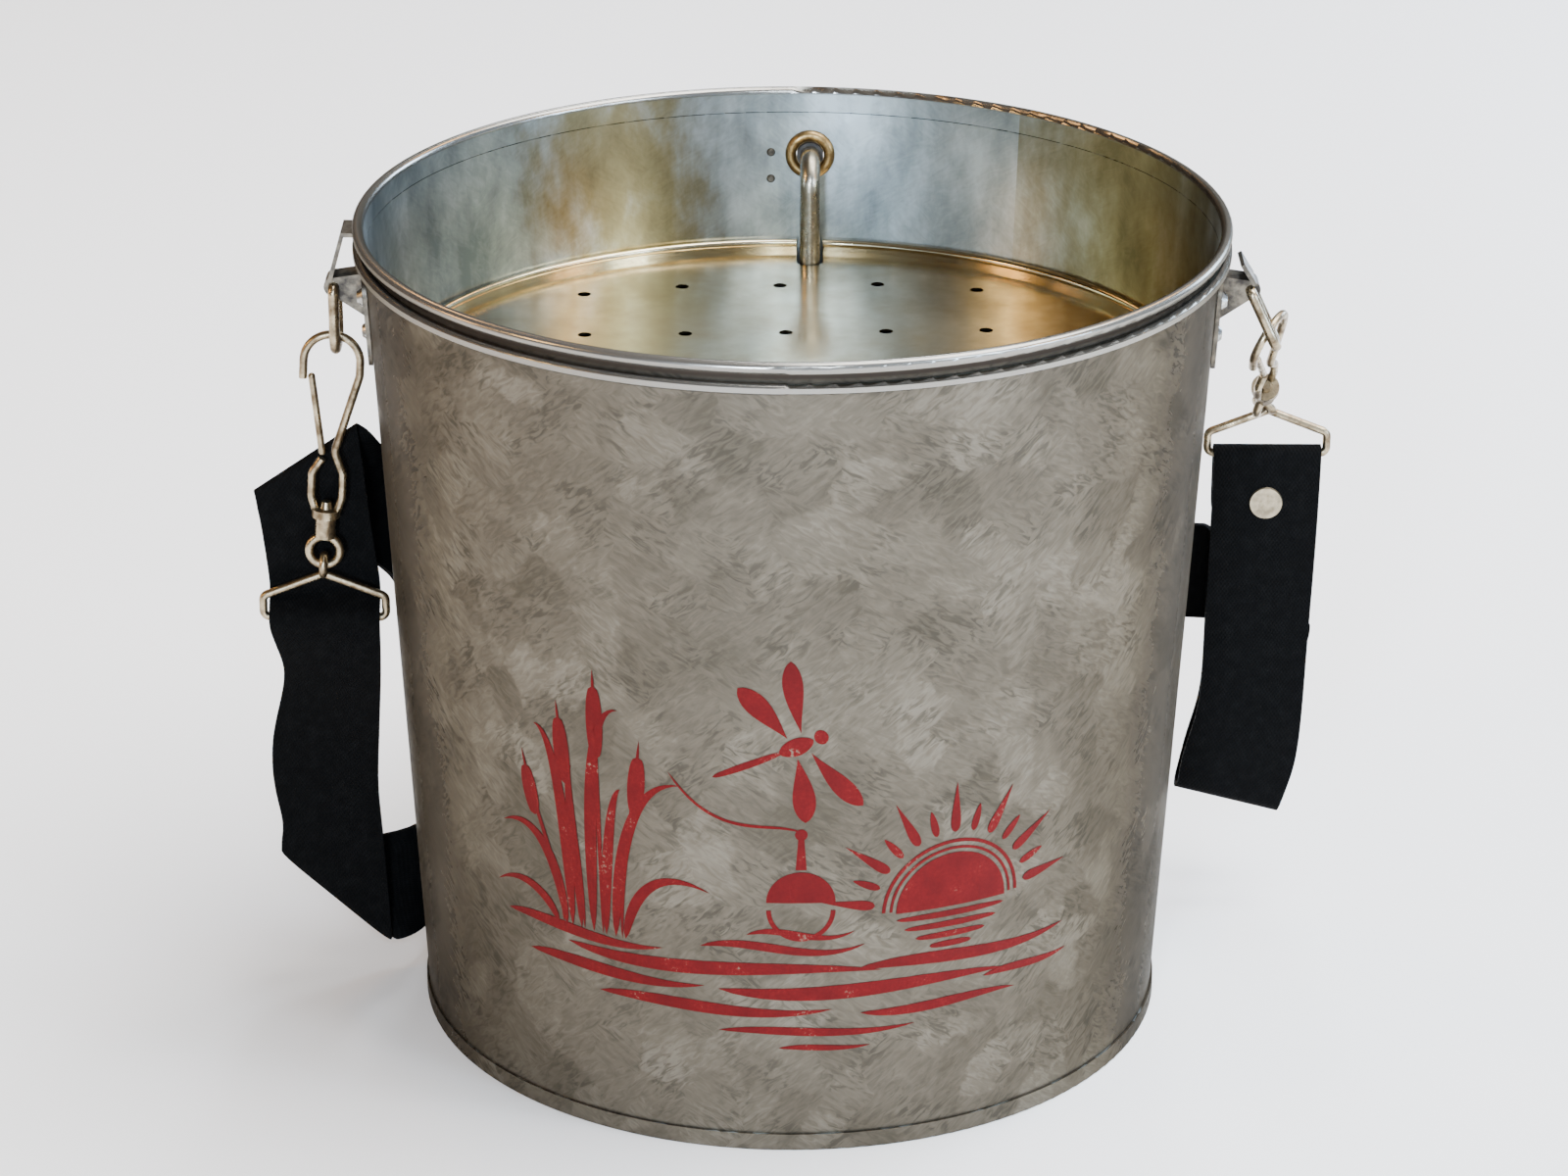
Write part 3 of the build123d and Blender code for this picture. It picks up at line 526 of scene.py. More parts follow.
    # the weathered outside has a dull skin of zinc oxide, and the inside is nearly bare metal
    metal = addNode(
        tree, "ShaderNodeMapRange", inputs={0: inside, 1: 0.0, 2: 1.0, 3: 0.86, 4: 0.96}
    )
    tree.links.new(metal.outputs[0], shader.inputs["Metallic"])
    # oxide dulls what zinc reflects at a glancing angle
    shader.inputs["Specular Tint"].default_value = hexColour("6E6A62")
    return material


def trayTinplate():
    # Tinned steel sheet, rolled nearly to a mirror: a little wavy, yellowed and duller in patches.
    size = {"patch": 14 * mm, "wave": 32 * mm}
    material, tree, shader = newMaterial("tinnedSheet")
    place = addNode(tree, "ShaderNodeTexCoord").outputs["Object"]
    cloud = addNode(
        tree,
        "ShaderNodeTexNoise",
        inputs={"Vector": place, "Scale": 1 / size["patch"], "Detail": 5.0, "Roughness": 0.65},
    )
    colour = addNode(
        tree,
        "ShaderNodeValToRGB",
        {"ramp": [(0.3, hexColour("A89670")), (0.7, hexColour("CDC2A4"))]},
        {0: cloud.outputs["Fac"]},
    )
    rough = addNode(
        tree,
        "ShaderNodeMapRange",
        inputs={0: cloud.outputs["Fac"], 1: 0.3, 2: 0.7, 3: 0.24, 4: 0.15},
    )
    wave = addNode(
        tree,
        "ShaderNodeTexNoise",
        inputs={"Vector": place, "Scale": 1 / size["wave"], "Detail": 1.0},
    )
    lift = addNode(
        tree,
        "ShaderNodeBump",
        inputs={"Strength": 0.3, "Distance": 0.5 * mm, "Height": wave.outputs["Fac"]},
    )
    for socket, value in (
        ("Base Color", colour.outputs[0]),
        ("Roughness", rough.outputs[0]),
        ("Normal", lift.outputs[0]),
    ):
        tree.links.new(value, shader.inputs[socket])
    shader.inputs["Metallic"].default_value = 1.0
    return material


def wornMetal(name, light, dark, smooth, rough, patch=2.5):
    # A plated or bare metal, tarnished dark and dull in patches of a few millimetres and finely
    # pitted.
    pitSize = 0.7 * mm
    material, tree, shader = newMaterial(name)
    place = addNode(tree, "ShaderNodeTexCoord").outputs["Object"]
    stain = addNode(
        tree,
        "ShaderNodeTexNoise",
        inputs={"Vector": place, "Scale": 1 / (patch * mm), "Detail": 4.0, "Roughness": 0.6},
    )
    colour = addNode(
        tree,
        "ShaderNodeValToRGB",
        {"ramp": [(0.36, hexColour(dark)), (0.62, hexColour(light))]},
        {0: stain.outputs["Fac"]},
    )
    gloss = addNode(
        tree,
        "ShaderNodeMapRange",
        inputs={0: stain.outputs["Fac"], 1: 0.35, 2: 0.65, 3: rough, 4: smooth},
    )
    pit = addNode(
        tree, "ShaderNodeTexNoise", inputs={"Vector": place, "Scale": 1 / pitSize, "Detail": 2.0}
    )
    lift = addNode(
        tree,
        "ShaderNodeBump",
        inputs={"Strength": 0.2, "Distance": 0.05 * mm, "Height": pit.outputs["Fac"]},
    )
    for socket, value in (
        ("Base Color", colour.outputs[0]),
        ("Roughness", gloss.outputs[0]),
        ("Normal", lift.outputs[0]),
    ):
        tree.links.new(value, shader.inputs[socket])
    shader.inputs["Metallic"].default_value = 1.0
    return material


def mouldedRubber():
    # Soft black rubber, moulded: dull, with a dusty bloom.
    dustSize = 1.5 * mm
    material, tree, shader = newMaterial("mouldedRubber")
    place = addNode(tree, "ShaderNodeTexCoord").outputs["Object"]
    dust = addNode(
        tree, "ShaderNodeTexNoise", inputs={"Vector": place, "Scale": 1 / dustSize, "Detail": 3.0}
    )
    colour = addNode(
        tree,
        "ShaderNodeValToRGB",
        {"ramp": [(0.35, hexColour("1B1A19")), (0.7, hexColour("35322E"))]},
        {0: dust.outputs["Fac"]},
    )
    tree.links.new(colour.outputs[0], shader.inputs["Base Color"])
    shader.inputs["Roughness"].default_value = 0.7
    return material


def wovenWebbing():
    # Black polyester webbing, woven: crosswise ribs about 1.6 mm apart and lengthwise yarns
    # 1.1 mm apart, drawn a little coarse so that they show, dull with a faint sheen.
    size = {"rib": 1.6 * mm, "yarn": 1.1 * mm, "fuzz": 3 * mm}
    fullTurn = 2 * math.pi
    material, tree, shader = newMaterial("wovenPolyesterWebbing")
    flat = addNode(tree, "ShaderNodeUVMap", {"uv_map": "cloth"}).outputs[0]
    cross = addNode(tree, "ShaderNodeSeparateXYZ", inputs={0: flat}).outputs
    rib = addMath(tree, "MULTIPLY", cross[1], fullTurn / size["rib"])
    yarn = addMath(tree, "MULTIPLY", cross[0], fullTurn / size["yarn"])
    weave = addMath(
        tree, "MULTIPLY", addMath(tree, "SINE", rib), addMath(tree, "SINE", yarn)
    )
    fuzz = addNode(
        tree,
        "ShaderNodeTexNoise",
        inputs={
            "Vector": addNode(tree, "ShaderNodeTexCoord").outputs["Object"],
            "Scale": 1 / size["fuzz"],
            "Detail": 4.0,
        },
    )
    shade = addMath(tree, "MULTIPLY_ADD", weave, 0.16, fuzz.outputs["Fac"])
    colour = addNode(
        tree,
        "ShaderNodeValToRGB",
        {
            "ramp": [
                (0.3, hexColour("020202")),
                (0.55, hexColour("040404")),
                (0.8, hexColour("090909")),
            ]
        },
        {0: shade},
    )
    lift = addNode(
        tree,
        "ShaderNodeBump",
        inputs={"Strength": 0.5, "Distance": 0.15 * mm, "Height": weave},
    )
    tree.links.new(colour.outputs[0], shader.inputs["Base Color"])
    tree.links.new(lift.outputs[0], shader.inputs["Normal"])
    shader.inputs["Roughness"].default_value = 0.85
    shader.inputs["Specular IOR Level"].default_value = 0.07
    return material


def screenInk():
    # Dark red enamel ink, silk-screened on the zinc: thin, worn through in specks where the
    # spangles stand proud.
    size = {"speck": 0.9 * mm, "wear": 9 * mm}
    material, tree, shader = newMaterial("silkScreenEnamelInk")
    place = addNode(tree, "ShaderNodeTexCoord").outputs["Object"]
    speck = addNode(
        tree,
        "ShaderNodeTexNoise",
        inputs={"Vector": place, "Scale": 1 / size["speck"], "Detail": 4.0, "Roughness": 0.7},
    )
    wear = addNode(
        tree,
        "ShaderNodeTexNoise",
        inputs={"Vector": place, "Scale": 1 / size["wear"], "Detail": 3.0},
    )
    thin = addMath(tree, "MULTIPLY", speck.outputs["Fac"], wear.outputs["Fac"])
    colour = addNode(
        tree,
        "ShaderNodeValToRGB",
        {
            "ramp": [
                (0.12, hexColour("4C0305")),
                (0.3, hexColour("5A0608")),
                (0.38, hexColour("640D0D")),
                (0.43, hexColour("6A5648")),
            ]
        },
        {0: thin},
    )
    tree.links.new(colour.outputs[0], shader.inputs["Base Color"])
    shader.inputs["Roughness"].default_value = 0.7
    shader.inputs["Specular IOR Level"].default_value = 0.14
    return material


def sinteredStone():
    # Blue sintered glass grit, about 0.9 mm a grain, porous and matt.
    grain = 0.9 * mm
    material, tree, shader = newMaterial("sinteredAirStone")
    place = addNode(tree, "ShaderNodeTexCoord").outputs["Object"]
    grit = addNode(tree, "ShaderNodeTexVoronoi", inputs={"Vector": place, "Scale": 1 / grain})
    tint = addNode(tree, "ShaderNodeSeparateColor", inputs={0: grit.outputs["Color"]})
    colour = addNode(
        tree,
        "ShaderNodeValToRGB",
        {"ramp": [(0.1, hexColour("3C5A86")), (0.9, hexColour("86A0C2"))]},
        {0: tint.outputs[0]},
    )
    lift = addNode(
        tree,
        "ShaderNodeBump",
        {"invert": True},
        {"Strength": 0.9, "Distance": 0.3 * mm, "Height": grit.outputs["Distance"]},
    )
    tree.links.new(colour.outputs[0], shader.inputs["Base Color"])
    tree.links.new(lift.outputs[0], shader.inputs["Normal"])
    shader.inputs["Roughness"].default_value = 0.85
    return material


galvanised = galvanisedSheet()
tinned = trayTinplate()
wireNickel = wornMetal("tarnishedNickelWire", "AE9F83", "655540", 0.24, 0.44, 4.0)
rolledWire = wornMetal("rolledSteelWire", "A8A8A6", "77756F", 0.3, 0.5)
earSteel = wornMetal("blackenedZincSteel", "6E675B", "3B3733", 0.32, 0.55, 4.0)
rivetSteel = wornMetal("zincRivetSteel", "C9C9C6", "8C8A84", 0.2, 0.38)
tubeSteel = wornMetal("drawnTubeSteel", "B9B2A2", "857D6C", 0.2, 0.36, 5.0)
eyeletBrass = wornMetal("agedBrassEyelet", "A68A5B", "6E5736", 0.28, 0.5)
rivetDark = wornMetal("darkenedRivetSteel", "6B6459", "37332D", 0.34, 0.55)
capNickel = wornMetal("antiqueNickelCap", "A89C84", "7C715D", 0.32, 0.46, 3.0)
rubber = mouldedRubber()
webbing = wovenWebbing()
ink = screenInk()
stone = sinteredStone()

finishes = {
    "pail_wall": galvanised,
    "pail_bottom": galvanised,
    "rim_wire": rolledWire,
    "perforated_tray": tinned,
    "air_tube": tubeSteel,
    "tube_eyelet": eyeletBrass,
    "tube_bush": rubber,
    "air_stone": stone,
    "wall_rivets": rivetDark,
    "strap_rivet": capNickel,
}
for side in ("left", "right"):
    finishes["ear_" + side] = earSteel
    finishes["ear_rivets_" + side] = rivetSteel
    for part in ("link", "snap", "snap_gate", "swivel_pin", "swivel_eye", "strap_ring"):
        finishes[part + "_" + side] = wireNickel

for name, material in finishes.items():
    node = nodes[name]
    node.data.materials.clear()
    node.data.materials.append(material)
print("CAD nodes given their finishes")


# strap: one length of webbing, from the loop on the right ring round to its seamed end. Behind
# the pail it lies along the tapered wall and falls in a curve. The CAD solid's bands stand
# upright there and run straight, so the two lie up to 16 mm apart in the climbing band and up
# to 35 mm apart in the falling one.

strap = {
    "width": 31.75 * mm,
    "thickness": 1.6 * mm,
    "wire": 1.2 * mm,
    "loop": 2.4 * mm,
    "tail": 22 * mm,
    "backGap": 10 * mm,
    "wallGap": 3.4 * mm,
    "leftFront": 5.3 * mm,
    "leftBack": 7.3 * mm,
    "layer": 1.9 * mm,
    "creaseLeft": (-153.8 * mm, 150.7 * mm),
    "creaseRight": (-123.9 * mm, 171.2 * mm),
    "foldLeft": (-150.3 * mm, 36.2 * mm),
    "foldRight": (-118.5 * mm, 7.0 * mm),
    "riserFold": (119 * mm, 88 * mm),
    "riserAngle": 37,
    "footAngle": 172,
    "peakAngle": 170,
    "seamAngle": 68,
    "seamLevel": 78 * mm,
    "fallFrom": 137.5 * mm,
    "fallCurve": 3.3,
    "columns": 4,
    "steps": 30,
}


def boxMiddle(name):
    low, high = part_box(name)
    return [(a + b) / 2 for a, b in zip(low, high)], low


def edgeRow(leftX, leftY, leftZ, rightX, rightY, rightZ):
    return [Vector((leftX, leftY, leftZ)) * mm, Vector((rightX, rightY, rightZ)) * mm]


def creaseRows(crease, before, after, yBefore, yAfter):
    # rows on both sides of a flat fold: crease has its two ends, before is the way back along the
    # webbing that comes to it, and after the way on along the webbing that leaves it
    rows = []
    for back, y, way in (
        (5.0, yBefore, before),
        (1.2, yBefore, before),
        (0.0, (yBefore * 3 + yAfter) / 4, before),
        (0.0, (yBefore + yAfter * 3) / 4, after),
        (1.2, yAfter, after),
        (5.0, yAfter, after),
    ):
        reach = back * mm
        rows.append([Vector((e[0] + way[0] * reach, y, e[1] + way[1] * reach)) for e in crease])
    return rows


def backPoint(angle, level, lift=0.0):
    # a point of the webbing where it lies behind the pail, a small gap clear of the tapered wall
    reach = wallRadius(level) + strap["wallGap"] + lift
    turn = math.radians(angle)
    return Vector((reach * math.cos(turn), reach * math.sin(turn), level))


def bandRows(fromAngle, toAngle, levelAt, liftAt):
    # webbing wrapped round the back of the pail while its middle climbs or falls: rows square
    # across it, upper edge first
    rows = []
    for step in range(strap["steps"] + 1):
        share = step / strap["steps"]
        angle = fromAngle + (toAngle - fromAngle) * share
        level = levelAt(share)
        around = math.radians(toAngle - fromAngle) * wallRadius(level)
        nudge = 0.01
        slope = (levelAt(min(share + nudge, 1.0)) - levelAt(max(share - nudge, 0.0))) / (
            (min(share + nudge, 1.0) - max(share - nudge, 0.0)) * around
        )
        tilt = math.atan(slope)
        half = strap["width"] / 2
        turn = math.degrees(half * math.sin(tilt) / wallRadius(level))
        rows.append(
            [
                backPoint(angle - side * turn, level + side * half * math.cos(tilt), liftAt(share))
                for side in (1, -1)
            ]
        )
    return rows


def eased(share):
    return share * share * (3 - 2 * share)


def loopRows(barX, barY, barZ, front):
    # the tail behind the ring, over its bar and down the front; right edge first from here on
    rows = []
    half = strap["width"] / 2
    for drop in (1.0, 0.6, 0.2):
        rows.append((barY + strap["loop"], barZ - strap["tail"] * drop))
    for angle in range(0, 181, 30):
        turn = math.radians(angle)
        rows.append((barY + strap["loop"] * math.cos(turn), barZ + strap["loop"] * math.sin(turn)))
    rows.append((front, barZ - 6 * mm))
    return [[Vector((barX + half, y, z)), Vector((barX - half, y, z))] for y, z in rows]


def footRows(front, back):
    # down the front, round at the foot and up the back; each row has the left edge's offset from
    # where that edge leaves the bar and its height, in millimetres, then the right edge's offset
    # from the same place and its height
    shape = (
        (-0.3, 112, 31.2, 111),
        (-0.6, 96, 30.6, 94),
        (-0.9, 80, 30.1, 77),
        (-1.2, 68, 29.6, 63),
        (-2.6, 60, 29.0, 53),
        (-5.2, 51, 28.0, 44),
        (-6.6, 44, 26.0, 36.5),
    )
    middle, low = boxMiddle("strap_ring_right")
    left = middle[0] - strap["width"] / 2
    rows = []
    for k, (leftX, leftZ, rightX, rightZ) in enumerate(shape):
        ripple = 0.8 * mm * math.sin(k * 1.1)
        rows.append(
            [
                Vector((left + rightX * mm, front + ripple, rightZ * mm)),
                Vector((left + leftX * mm, front + ripple, leftZ * mm)),
            ]
        )
    bend = (back - front) / 2
    down = Vector((-0.28, 0, -0.96))
    for angle in range(20, 161, 28):
        turn = math.radians(angle)
        reach = down * (bend * math.sin(turn) + 2 * mm)
        y = front + bend - bend * math.cos(turn)
        rows.append(
            [
                Vector((left + 25.2 * mm, y, 34.0 * mm)) + reach,
                Vector((left - 6.0 * mm, y, 42.0 * mm)) + reach,
            ]
        )
    for leftX, leftZ, rightX, rightZ in shape[:1:-1]:
        rows.append(
            [
                Vector((left + rightX * mm - 0.8 * mm, back, rightZ * mm)),
                Vector((left + leftX * mm + 0.8 * mm, back, leftZ * mm)),
            ]
        )
    return rows


def leftRows():
    # up from the fold at the left foot, through the ring and on to the crease at the top: right
    # edge's x, y and height, then the left edge's
    return [
        edgeRow(*row)
        for row in (
            (-120.4, 5.3, 46, -149.2, 5.6, 46),
            (-121.3, 5.2, 56, -151.6, 6.0, 56),
            (-120.9, 4.0, 66, -152.2, 5.2, 66),
            (-120.2, 2.0, 76, -151.4, 5.0, 76),
            (-119.6, -0.2, 86, -148.6, 6.6, 86),
            (-119.0, -1.8, 95, -146.8, 6.2, 95),
            (-118.6, -2.7, 104, -148.2, 2.0, 103),
            (-118.5, -2.8, 112, -150.3, -2.8, 112),
            (-118.5, -2.7, 115.2, -150.3, -2.7, 115.2),
            (-118.5, -1.0, 117.2, -150.3, -1.0, 117.2),
            (-118.5, 1.8, 119.6, -150.4, 1.8, 119.6),
            (-118.6, 4.8, 122.4, -150.5, 4.8, 122.4),
            (-119.0, 5.5, 126, -150.8, 5.5, 126),
            (-120.0, 5.5, 134, -151.6, 5.5, 134),
            (-121.0, 5.4, 142, -152.5, 5.4, 142),
        )
    ]


def strapRows():
    middle, low = boxMiddle("strap_ring_right")
    barX, barY, barZ = middle[0], middle[1], low[2] + strap["wire"]
    half = strap["width"] / 2
    front = barY - strap["loop"]
    back = front + strap["backGap"] - strap["thickness"]
    flat = back + strap["layer"]
    rows = loopRows(barX, barY, barZ, front) + footRows(front, back)
    # fold to the left at the top of the riser
    top, foot = strap["riserFold"]
    crease = ((barX + half, foot), (barX - half, top))
    turned = creaseRows(crease, (0, -1), (-1, -0.06), back, flat)
    rows += turned[:3] + [row[::-1] for row in turned[3:]]
    # band that goes down behind the pail to the left side
    start, end = top - half, strap["foldRight"][1] + half * 1.02
    rows += bandRows(
        strap["riserAngle"],
        strap["footAngle"],
        lambda share: start + (end - start) * eased(share),
        lambda share: 0.0,
    )
    # fold up at the left foot
    crease = (strap["foldLeft"], strap["foldRight"])
    turned = creaseRows(crease, (1, 0.08), (0, 1), strap["leftBack"], strap["leftFront"])
    rows += turned[:3] + [row[::-1] for row in turned[3:]]
    rows += leftRows()
    # crease at the top, and the band that falls behind the pail to its seam on the other band
    crease = (strap["creaseRight"], strap["creaseLeft"])
    rows += creaseRows(crease, (0.12, -1), (0.82, -0.57), strap["leftFront"], strap["leftBack"])
    drop = strap["fallFrom"] - strap["seamLevel"]
    rows += bandRows(
        strap["peakAngle"],
        strap["seamAngle"],
        lambda share: strap["seamLevel"] + drop * (1 - share) ** strap["fallCurve"],
        lambda share: strap["layer"] * eased(min(share / 0.6, 1.0)),
    )
    return rows


def layStrap():
    rows = strapRows()
    columns = strap["columns"]
    verts, faces, flat = [], [], []
    runs = [0.0, 0.0]
    for k, row in enumerate(rows):
        if k:
            runs = [runs[e] + (row[e] - rows[k - 1][e]).length for e in (0, 1)]
        for c in range(columns + 1):
            share = c / columns
            verts.append(row[0].lerp(row[1], share))
            flat.append((share * strap["width"], runs[0] + (runs[1] - runs[0]) * share))
    for k in range(len(rows) - 1):
        for c in range(columns):
            a = k * (columns + 1) + c
            faces.append((a, a + 1, a + columns + 2, a + columns + 1))
    mesh = bpy.data.meshes.new("webbingStrap")
    mesh.from_pydata(verts, [], faces)
    cloth = mesh.uv_layers.new(name="cloth")
    for loop in mesh.loops:
        cloth.data[loop.index].uv = flat[loop.vertex_index]
    piece = bpy.data.objects.new("webbingStrap", mesh)
    bpy.context.collection.objects.link(piece)
    bpy.ops.object.select_all(action="DESELECT")
    bpy.context.view_layer.objects.active = piece
    piece.select_set(True)
    soft = piece.modifiers.new("soft", "SUBSURF")
    soft.levels = soft.render_levels = 2
    bpy.ops.object.modifier_apply(modifier="soft")
    thick = piece.modifiers.new("thick", "SOLIDIFY")
    thick.thickness = strap["thickness"]
    thick.offset = 0
    bpy.ops.object.modifier_apply(modifier="thick")
    bpy.ops.object.shade_smooth_by_angle(angle=math.radians(50))
    piece.data.materials.append(webbing)
    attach(piece, "strap")
    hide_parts("strap")
    piece.select_set(False)


layStrap()


# print on the front: rising sun, reeds, dragonfly, float and ripples, in one colour

artwork = {"lift": 0.06 * mm, "film": 0.05 * mm, "cut": 6 * mm, "cuts": 16, "middle": 95 * mm}


def flatShape(outline):
    # one filled outline, points (u, z) in millimetres, as a flat mesh
    curve = bpy.data.curves.new("outline", "CURVE")
    curve.dimensions = "2D"
    curve.fill_mode = "BOTH"
    spline = curve.splines.new("POLY")
    spline.points.add(len(outline) - 1)
    for point, (u, z) in zip(spline.points, outline):
        point.co = (u * mm, z * mm, 0, 1)
    spline.use_cyclic_u = True
    shape = bpy.data.objects.new("outline", curve)
    bpy.context.collection.objects.link(shape)
    bpy.context.view_layer.objects.active = shape
    shape.select_set(True)
    bpy.ops.object.convert(target="MESH")
    shape = bpy.context.object
    shape.select_set(False)
    return shape


def ringShape(u, z, outer, inner=0.0, fromAngle=0, toAngle=360):
    # a disc, ring or part of one
    steps = max(8, round(abs(toAngle - fromAngle) / 6))
    turns = [math.radians(fromAngle + (toAngle - fromAngle) * k / steps) for k in range(steps + 1)]
    outline = [(u + outer * math.cos(t), z + outer * math.sin(t)) for t in turns]
    if inner:
        outline += [(u + inner * math.cos(t), z + inner * math.sin(t)) for t in reversed(turns)]
    elif toAngle - fromAngle == 360:
        outline = outline[:-1]
    return flatShape(outline)


def brushShape(points, width, fullness=1.0, swell=0.5):
    # a brush stroke along a curve with four handles: pointed at both ends, its widest place at
    # the share swell along it; a low fullness keeps it wide nearly to the ends
    path = interpolate_bezier(*[Vector((u, z, 0)) for u, z in points], 22)
    left, right = [], []
    for k, spot in enumerate(path[1:-1], 1):
        share = k / (len(path) - 1)
        bulge = share ** (math.log(0.5) / math.log(swell))
        side = (path[k + 1] - path[k - 1]).normalized()
        half = width / 2 * math.sin(math.pi * bulge) ** fullness
        left.append((spot.x - side.y * half, spot.y + side.x * half))
        right.append((spot.x + side.y * half, spot.y - side.x * half))
    tips = [(path[0].x, path[0].y)], [(path[-1].x, path[-1].y)]
    return flatShape(tips[0] + left + tips[1] + right[::-1])


def sunShapes():
    # half a disc above the water, two thin rings round it and a fan of rays
    sun = {"u": 46, "z": 73, "disc": 16.5, "rings": ((18.4, 17.6), (20.6, 19.6)), "rays": 13}
    shapes = [ringShape(sun["u"], sun["z"], sun["disc"], 0, 0, 180)]
    for outer, inner in sun["rings"]:
        shapes.append(ringShape(sun["u"], sun["z"], outer, inner, 2, 178))
    for k in range(sun["rays"]):
        angle = math.radians(8 + 164 * k / (sun["rays"] - 1))
        long = 38 if k % 2 == 0 else 31
        way = Vector((math.cos(angle), math.sin(angle)))
        middle = Vector((sun["u"], sun["z"]))
        ray = [tuple(middle + way * reach) for reach in (22.8, 26, 30, long)]
        shapes.append(brushShape(ray, 2.9 if k % 2 == 0 else 2.2, 0.9, 0.3))
    # bars of light on the water under it
    for drop, half in ((2.2, 16.4), (5.4, 14.0), (8.6, 10.6), (11.6, 6.4)):
        line = [(sun["u"] + half * a, sun["z"] - drop) for a in (-1, -0.4, 0.4, 1)]
        shapes.append(brushShape(line, 1.9, 0.35))
    return shapes


def reedShapes():
    root = 62
    shapes = []
    # stems: foot, top's u and height, head length
    for foot, topU, topZ, head in (
        (-60, -66, 131, 20),
        (-54, -54, 143, 22),
        (-48, -41, 124, 18),
        (-67, -79, 113, 15),
    ):
        lean = topU - foot
        tip = Vector((topU, topZ))
        rise = topZ - root
        way = Vector((lean * 0.55, rise * 0.7)).normalized()
        stem = [(foot, root), (foot, root + rise * 0.35), tuple(tip - way * 24), tuple(tip)]
        shapes.append(brushShape(stem, 1.3, 0.3))
        body = [tuple(tip - way * (5 + head * share)) for share in (1, 0.66, 0.33, 0)]
        shapes.append(brushShape(body, 5.0, 0.32))
    # leaves: foot, tip's u and height, how far out the bend reaches, width
    for foot, tipU, tipZ, reach, width in (
        (-66, -88, 96, -8, 3.4),
        (-64, -74, 122, -3, 3.6),
        (-61, -62, 112, -4, 3.0),
        (-57, -47, 132, 0, 3.8),
        (-53, -47, 108, 3, 3.2),
        (-50, -30, 112, 6, 3.6),
        (-47, -22, 88, 9, 3.2),
        (-69, -92, 76, -12, 2.8),
    ):
        rise = tipZ - root
        middle = (foot + reach * 0.2, root + rise * 0.5)
        leaf = [(foot, root), middle, (foot + reach, tipZ), (tipU, tipZ)]
        if abs(tipU - foot) > 20:
            leaf[3] = (tipU, tipZ - 8)
        shapes.append(brushShape(leaf, width, 0.8, 0.35))
    return shapes


def dragonflyShapes():
    fly = {"u": 2, "z": 126, "turn": math.radians(24)}

    def placed(u, z):
        cos, sin = math.cos(fly["turn"]), math.sin(fly["turn"])
        return fly["u"] + u * cos - z * sin, fly["z"] + u * sin + z * cos

    shapes = []
    # tail, chest and head, along the body
    for fromU, toU, width, fullness in (
        (-25, -4.5, 2.0, 0.35),
        (-5.5, 4.5, 5.2, 0.6),
        (4.8, 8.6, 4.4, 0.5),
    ):
        line = [placed(fromU + (toU - fromU) * share, 0) for share in (0, 0.33, 0.66, 1)]
        shapes.append(brushShape(line, width, fullness))
    # wings: root, tip's u and z, width
    for side in (-1, 1):
        for root, tipU, tipZ, width in ((2.4, 8.5, 24, 5.4), (-1.6, -7.5, 22, 6.2)):
            wing = [
                placed(root, side * 3.2),
                placed(root + (tipU - root) * 0.2, side * tipZ * 0.4),
                placed(root + (tipU - root) * 0.6, side * tipZ * 0.75),
                placed(tipU, side * tipZ),
            ]
            shapes.append(brushShape(wing, width, 0.7, 0.66))
    return shapes


def floatShapes():
    # a round float: upper half filled, lower half an outline, with its stem and bead
    bob = {"u": 3, "z": 77, "radius": 9.5, "band": 1.2, "rim": 1.3}
    u, z, radius = bob["u"], bob["z"], bob["radius"]
    shapes = [
        ringShape(u, z + bob["band"], radius, 0, 0, 180),
        ringShape(u, z - bob["band"], radius, radius - bob["rim"], 180, 360),
        flatShape(
            [(u - 1.5, z + 11.4), (u + 1.5, z + 11.4), (u + 0.8, z + 21), (u - 0.8, z + 21)]
        ),
        ringShape(u, z + 22.2, 1.7),
    ]
    # the slack line that comes down to it from the upper left
    shapes.append(brushShape([(u, z + 23), (-6, 104), (-20, 96), (-33, 116)], 0.9, 0.3))
    return shapes


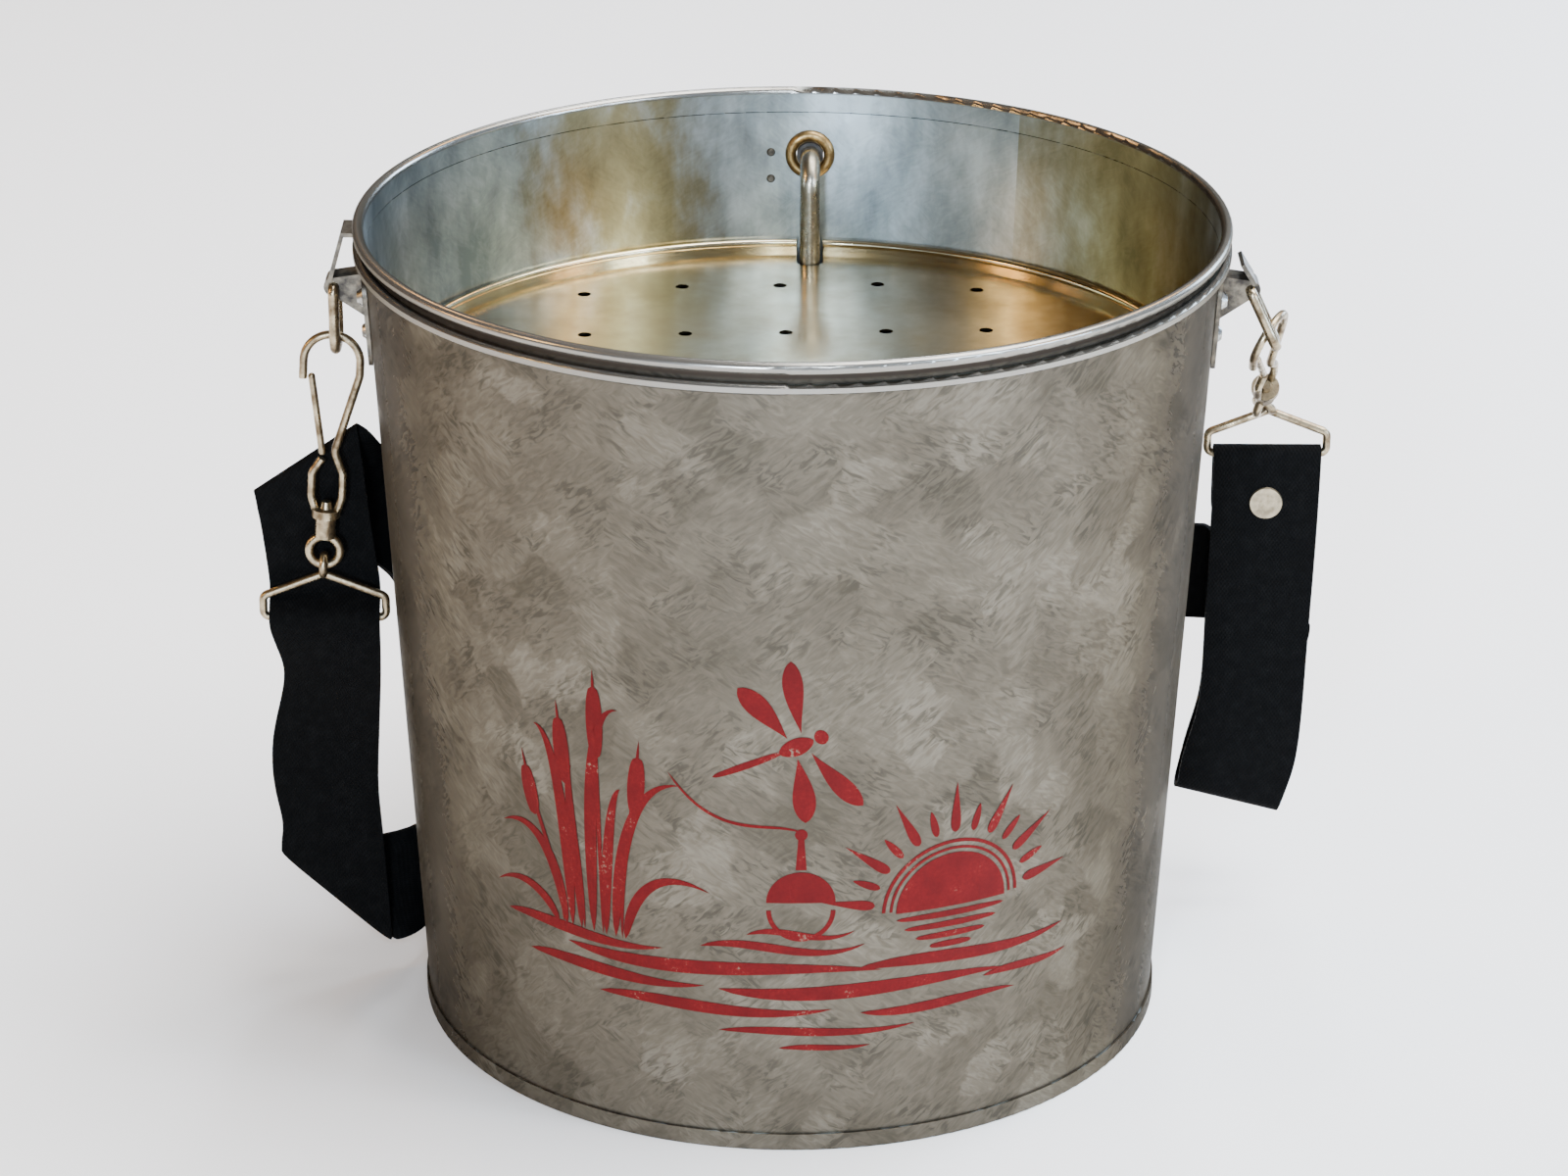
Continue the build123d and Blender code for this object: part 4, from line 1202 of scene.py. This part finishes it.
def waterShapes():
    # ripples: each a shallow S with pointed ends
    shapes = []
    # middle, level, length, thickness, bow
    for u, z, length, thick, bow in (
        (-62, 60.5, 52, 3.4, 1.5),
        (3, 68.0, 30, 2.0, 2.2),
        (-2, 63.5, 46, 2.6, 2.6),
        (-20, 57.0, 92, 4.2, -1.8),
        (52, 57.0, 66, 3.8, 1.6),
        (-52, 50.5, 56, 3.6, 1.2),
        (22, 50.5, 84, 4.4, -1.6),
        (72, 48.5, 30, 2.4, 0.8),
        (-22, 44.0, 68, 3.6, 1.4),
        (44, 43.0, 48, 3.0, -1.0),
        (8, 37.5, 56, 2.6, 1.0),
        (10, 32.5, 26, 1.8, 0.5),
    ):
        wave = [
            (u - length / 2, z),
            (u - length / 6, z + bow * 2),
            (u + length / 6, z - bow * 2),
            (u + length / 2, z + bow * 0.5),
        ]
        shapes.append(brushShape(wave, thick, 0.75, 0.42))
    return shapes


def addArtwork():
    shapes = sunShapes() + reedShapes() + dragonflyShapes() + floatShapes() + waterShapes()
    bpy.ops.object.select_all(action="DESELECT")
    for shape in shapes:
        shape.select_set(True)
    bpy.context.view_layer.objects.active = shapes[0]
    bpy.ops.object.join()
    piece = bpy.context.object
    piece.name = piece.data.name = "frontArtwork"
    # cut across every few millimetres, so that it can follow the round wall
    bpy.ops.object.mode_set(mode="EDIT")
    cut = artwork["cut"]
    for k in range(-artwork["cuts"], artwork["cuts"] + 1):
        bpy.ops.mesh.select_all(action="SELECT")
        bpy.ops.mesh.bisect(plane_co=(k * cut, 0, 0), plane_no=(1, 0, 0))
    bpy.ops.object.mode_set(mode="OBJECT")
    around = wallRadius(artwork["middle"])
    for v in piece.data.vertices:
        angle = v.co.x / around
        radius = wallRadius(v.co.y) + artwork["lift"]
        v.co = (radius * math.sin(angle), -radius * math.cos(angle), v.co.y)
    film = piece.modifiers.new("film", "SOLIDIFY")
    film.thickness = artwork["film"]
    film.offset = 1
    bpy.ops.object.modifier_apply(modifier="film")
    piece.data.materials.clear()
    piece.data.materials.append(ink)
    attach(piece, "pail")
    piece.select_set(False)
    print("artwork printed, faces", len(piece.data.polygons))


addArtwork()
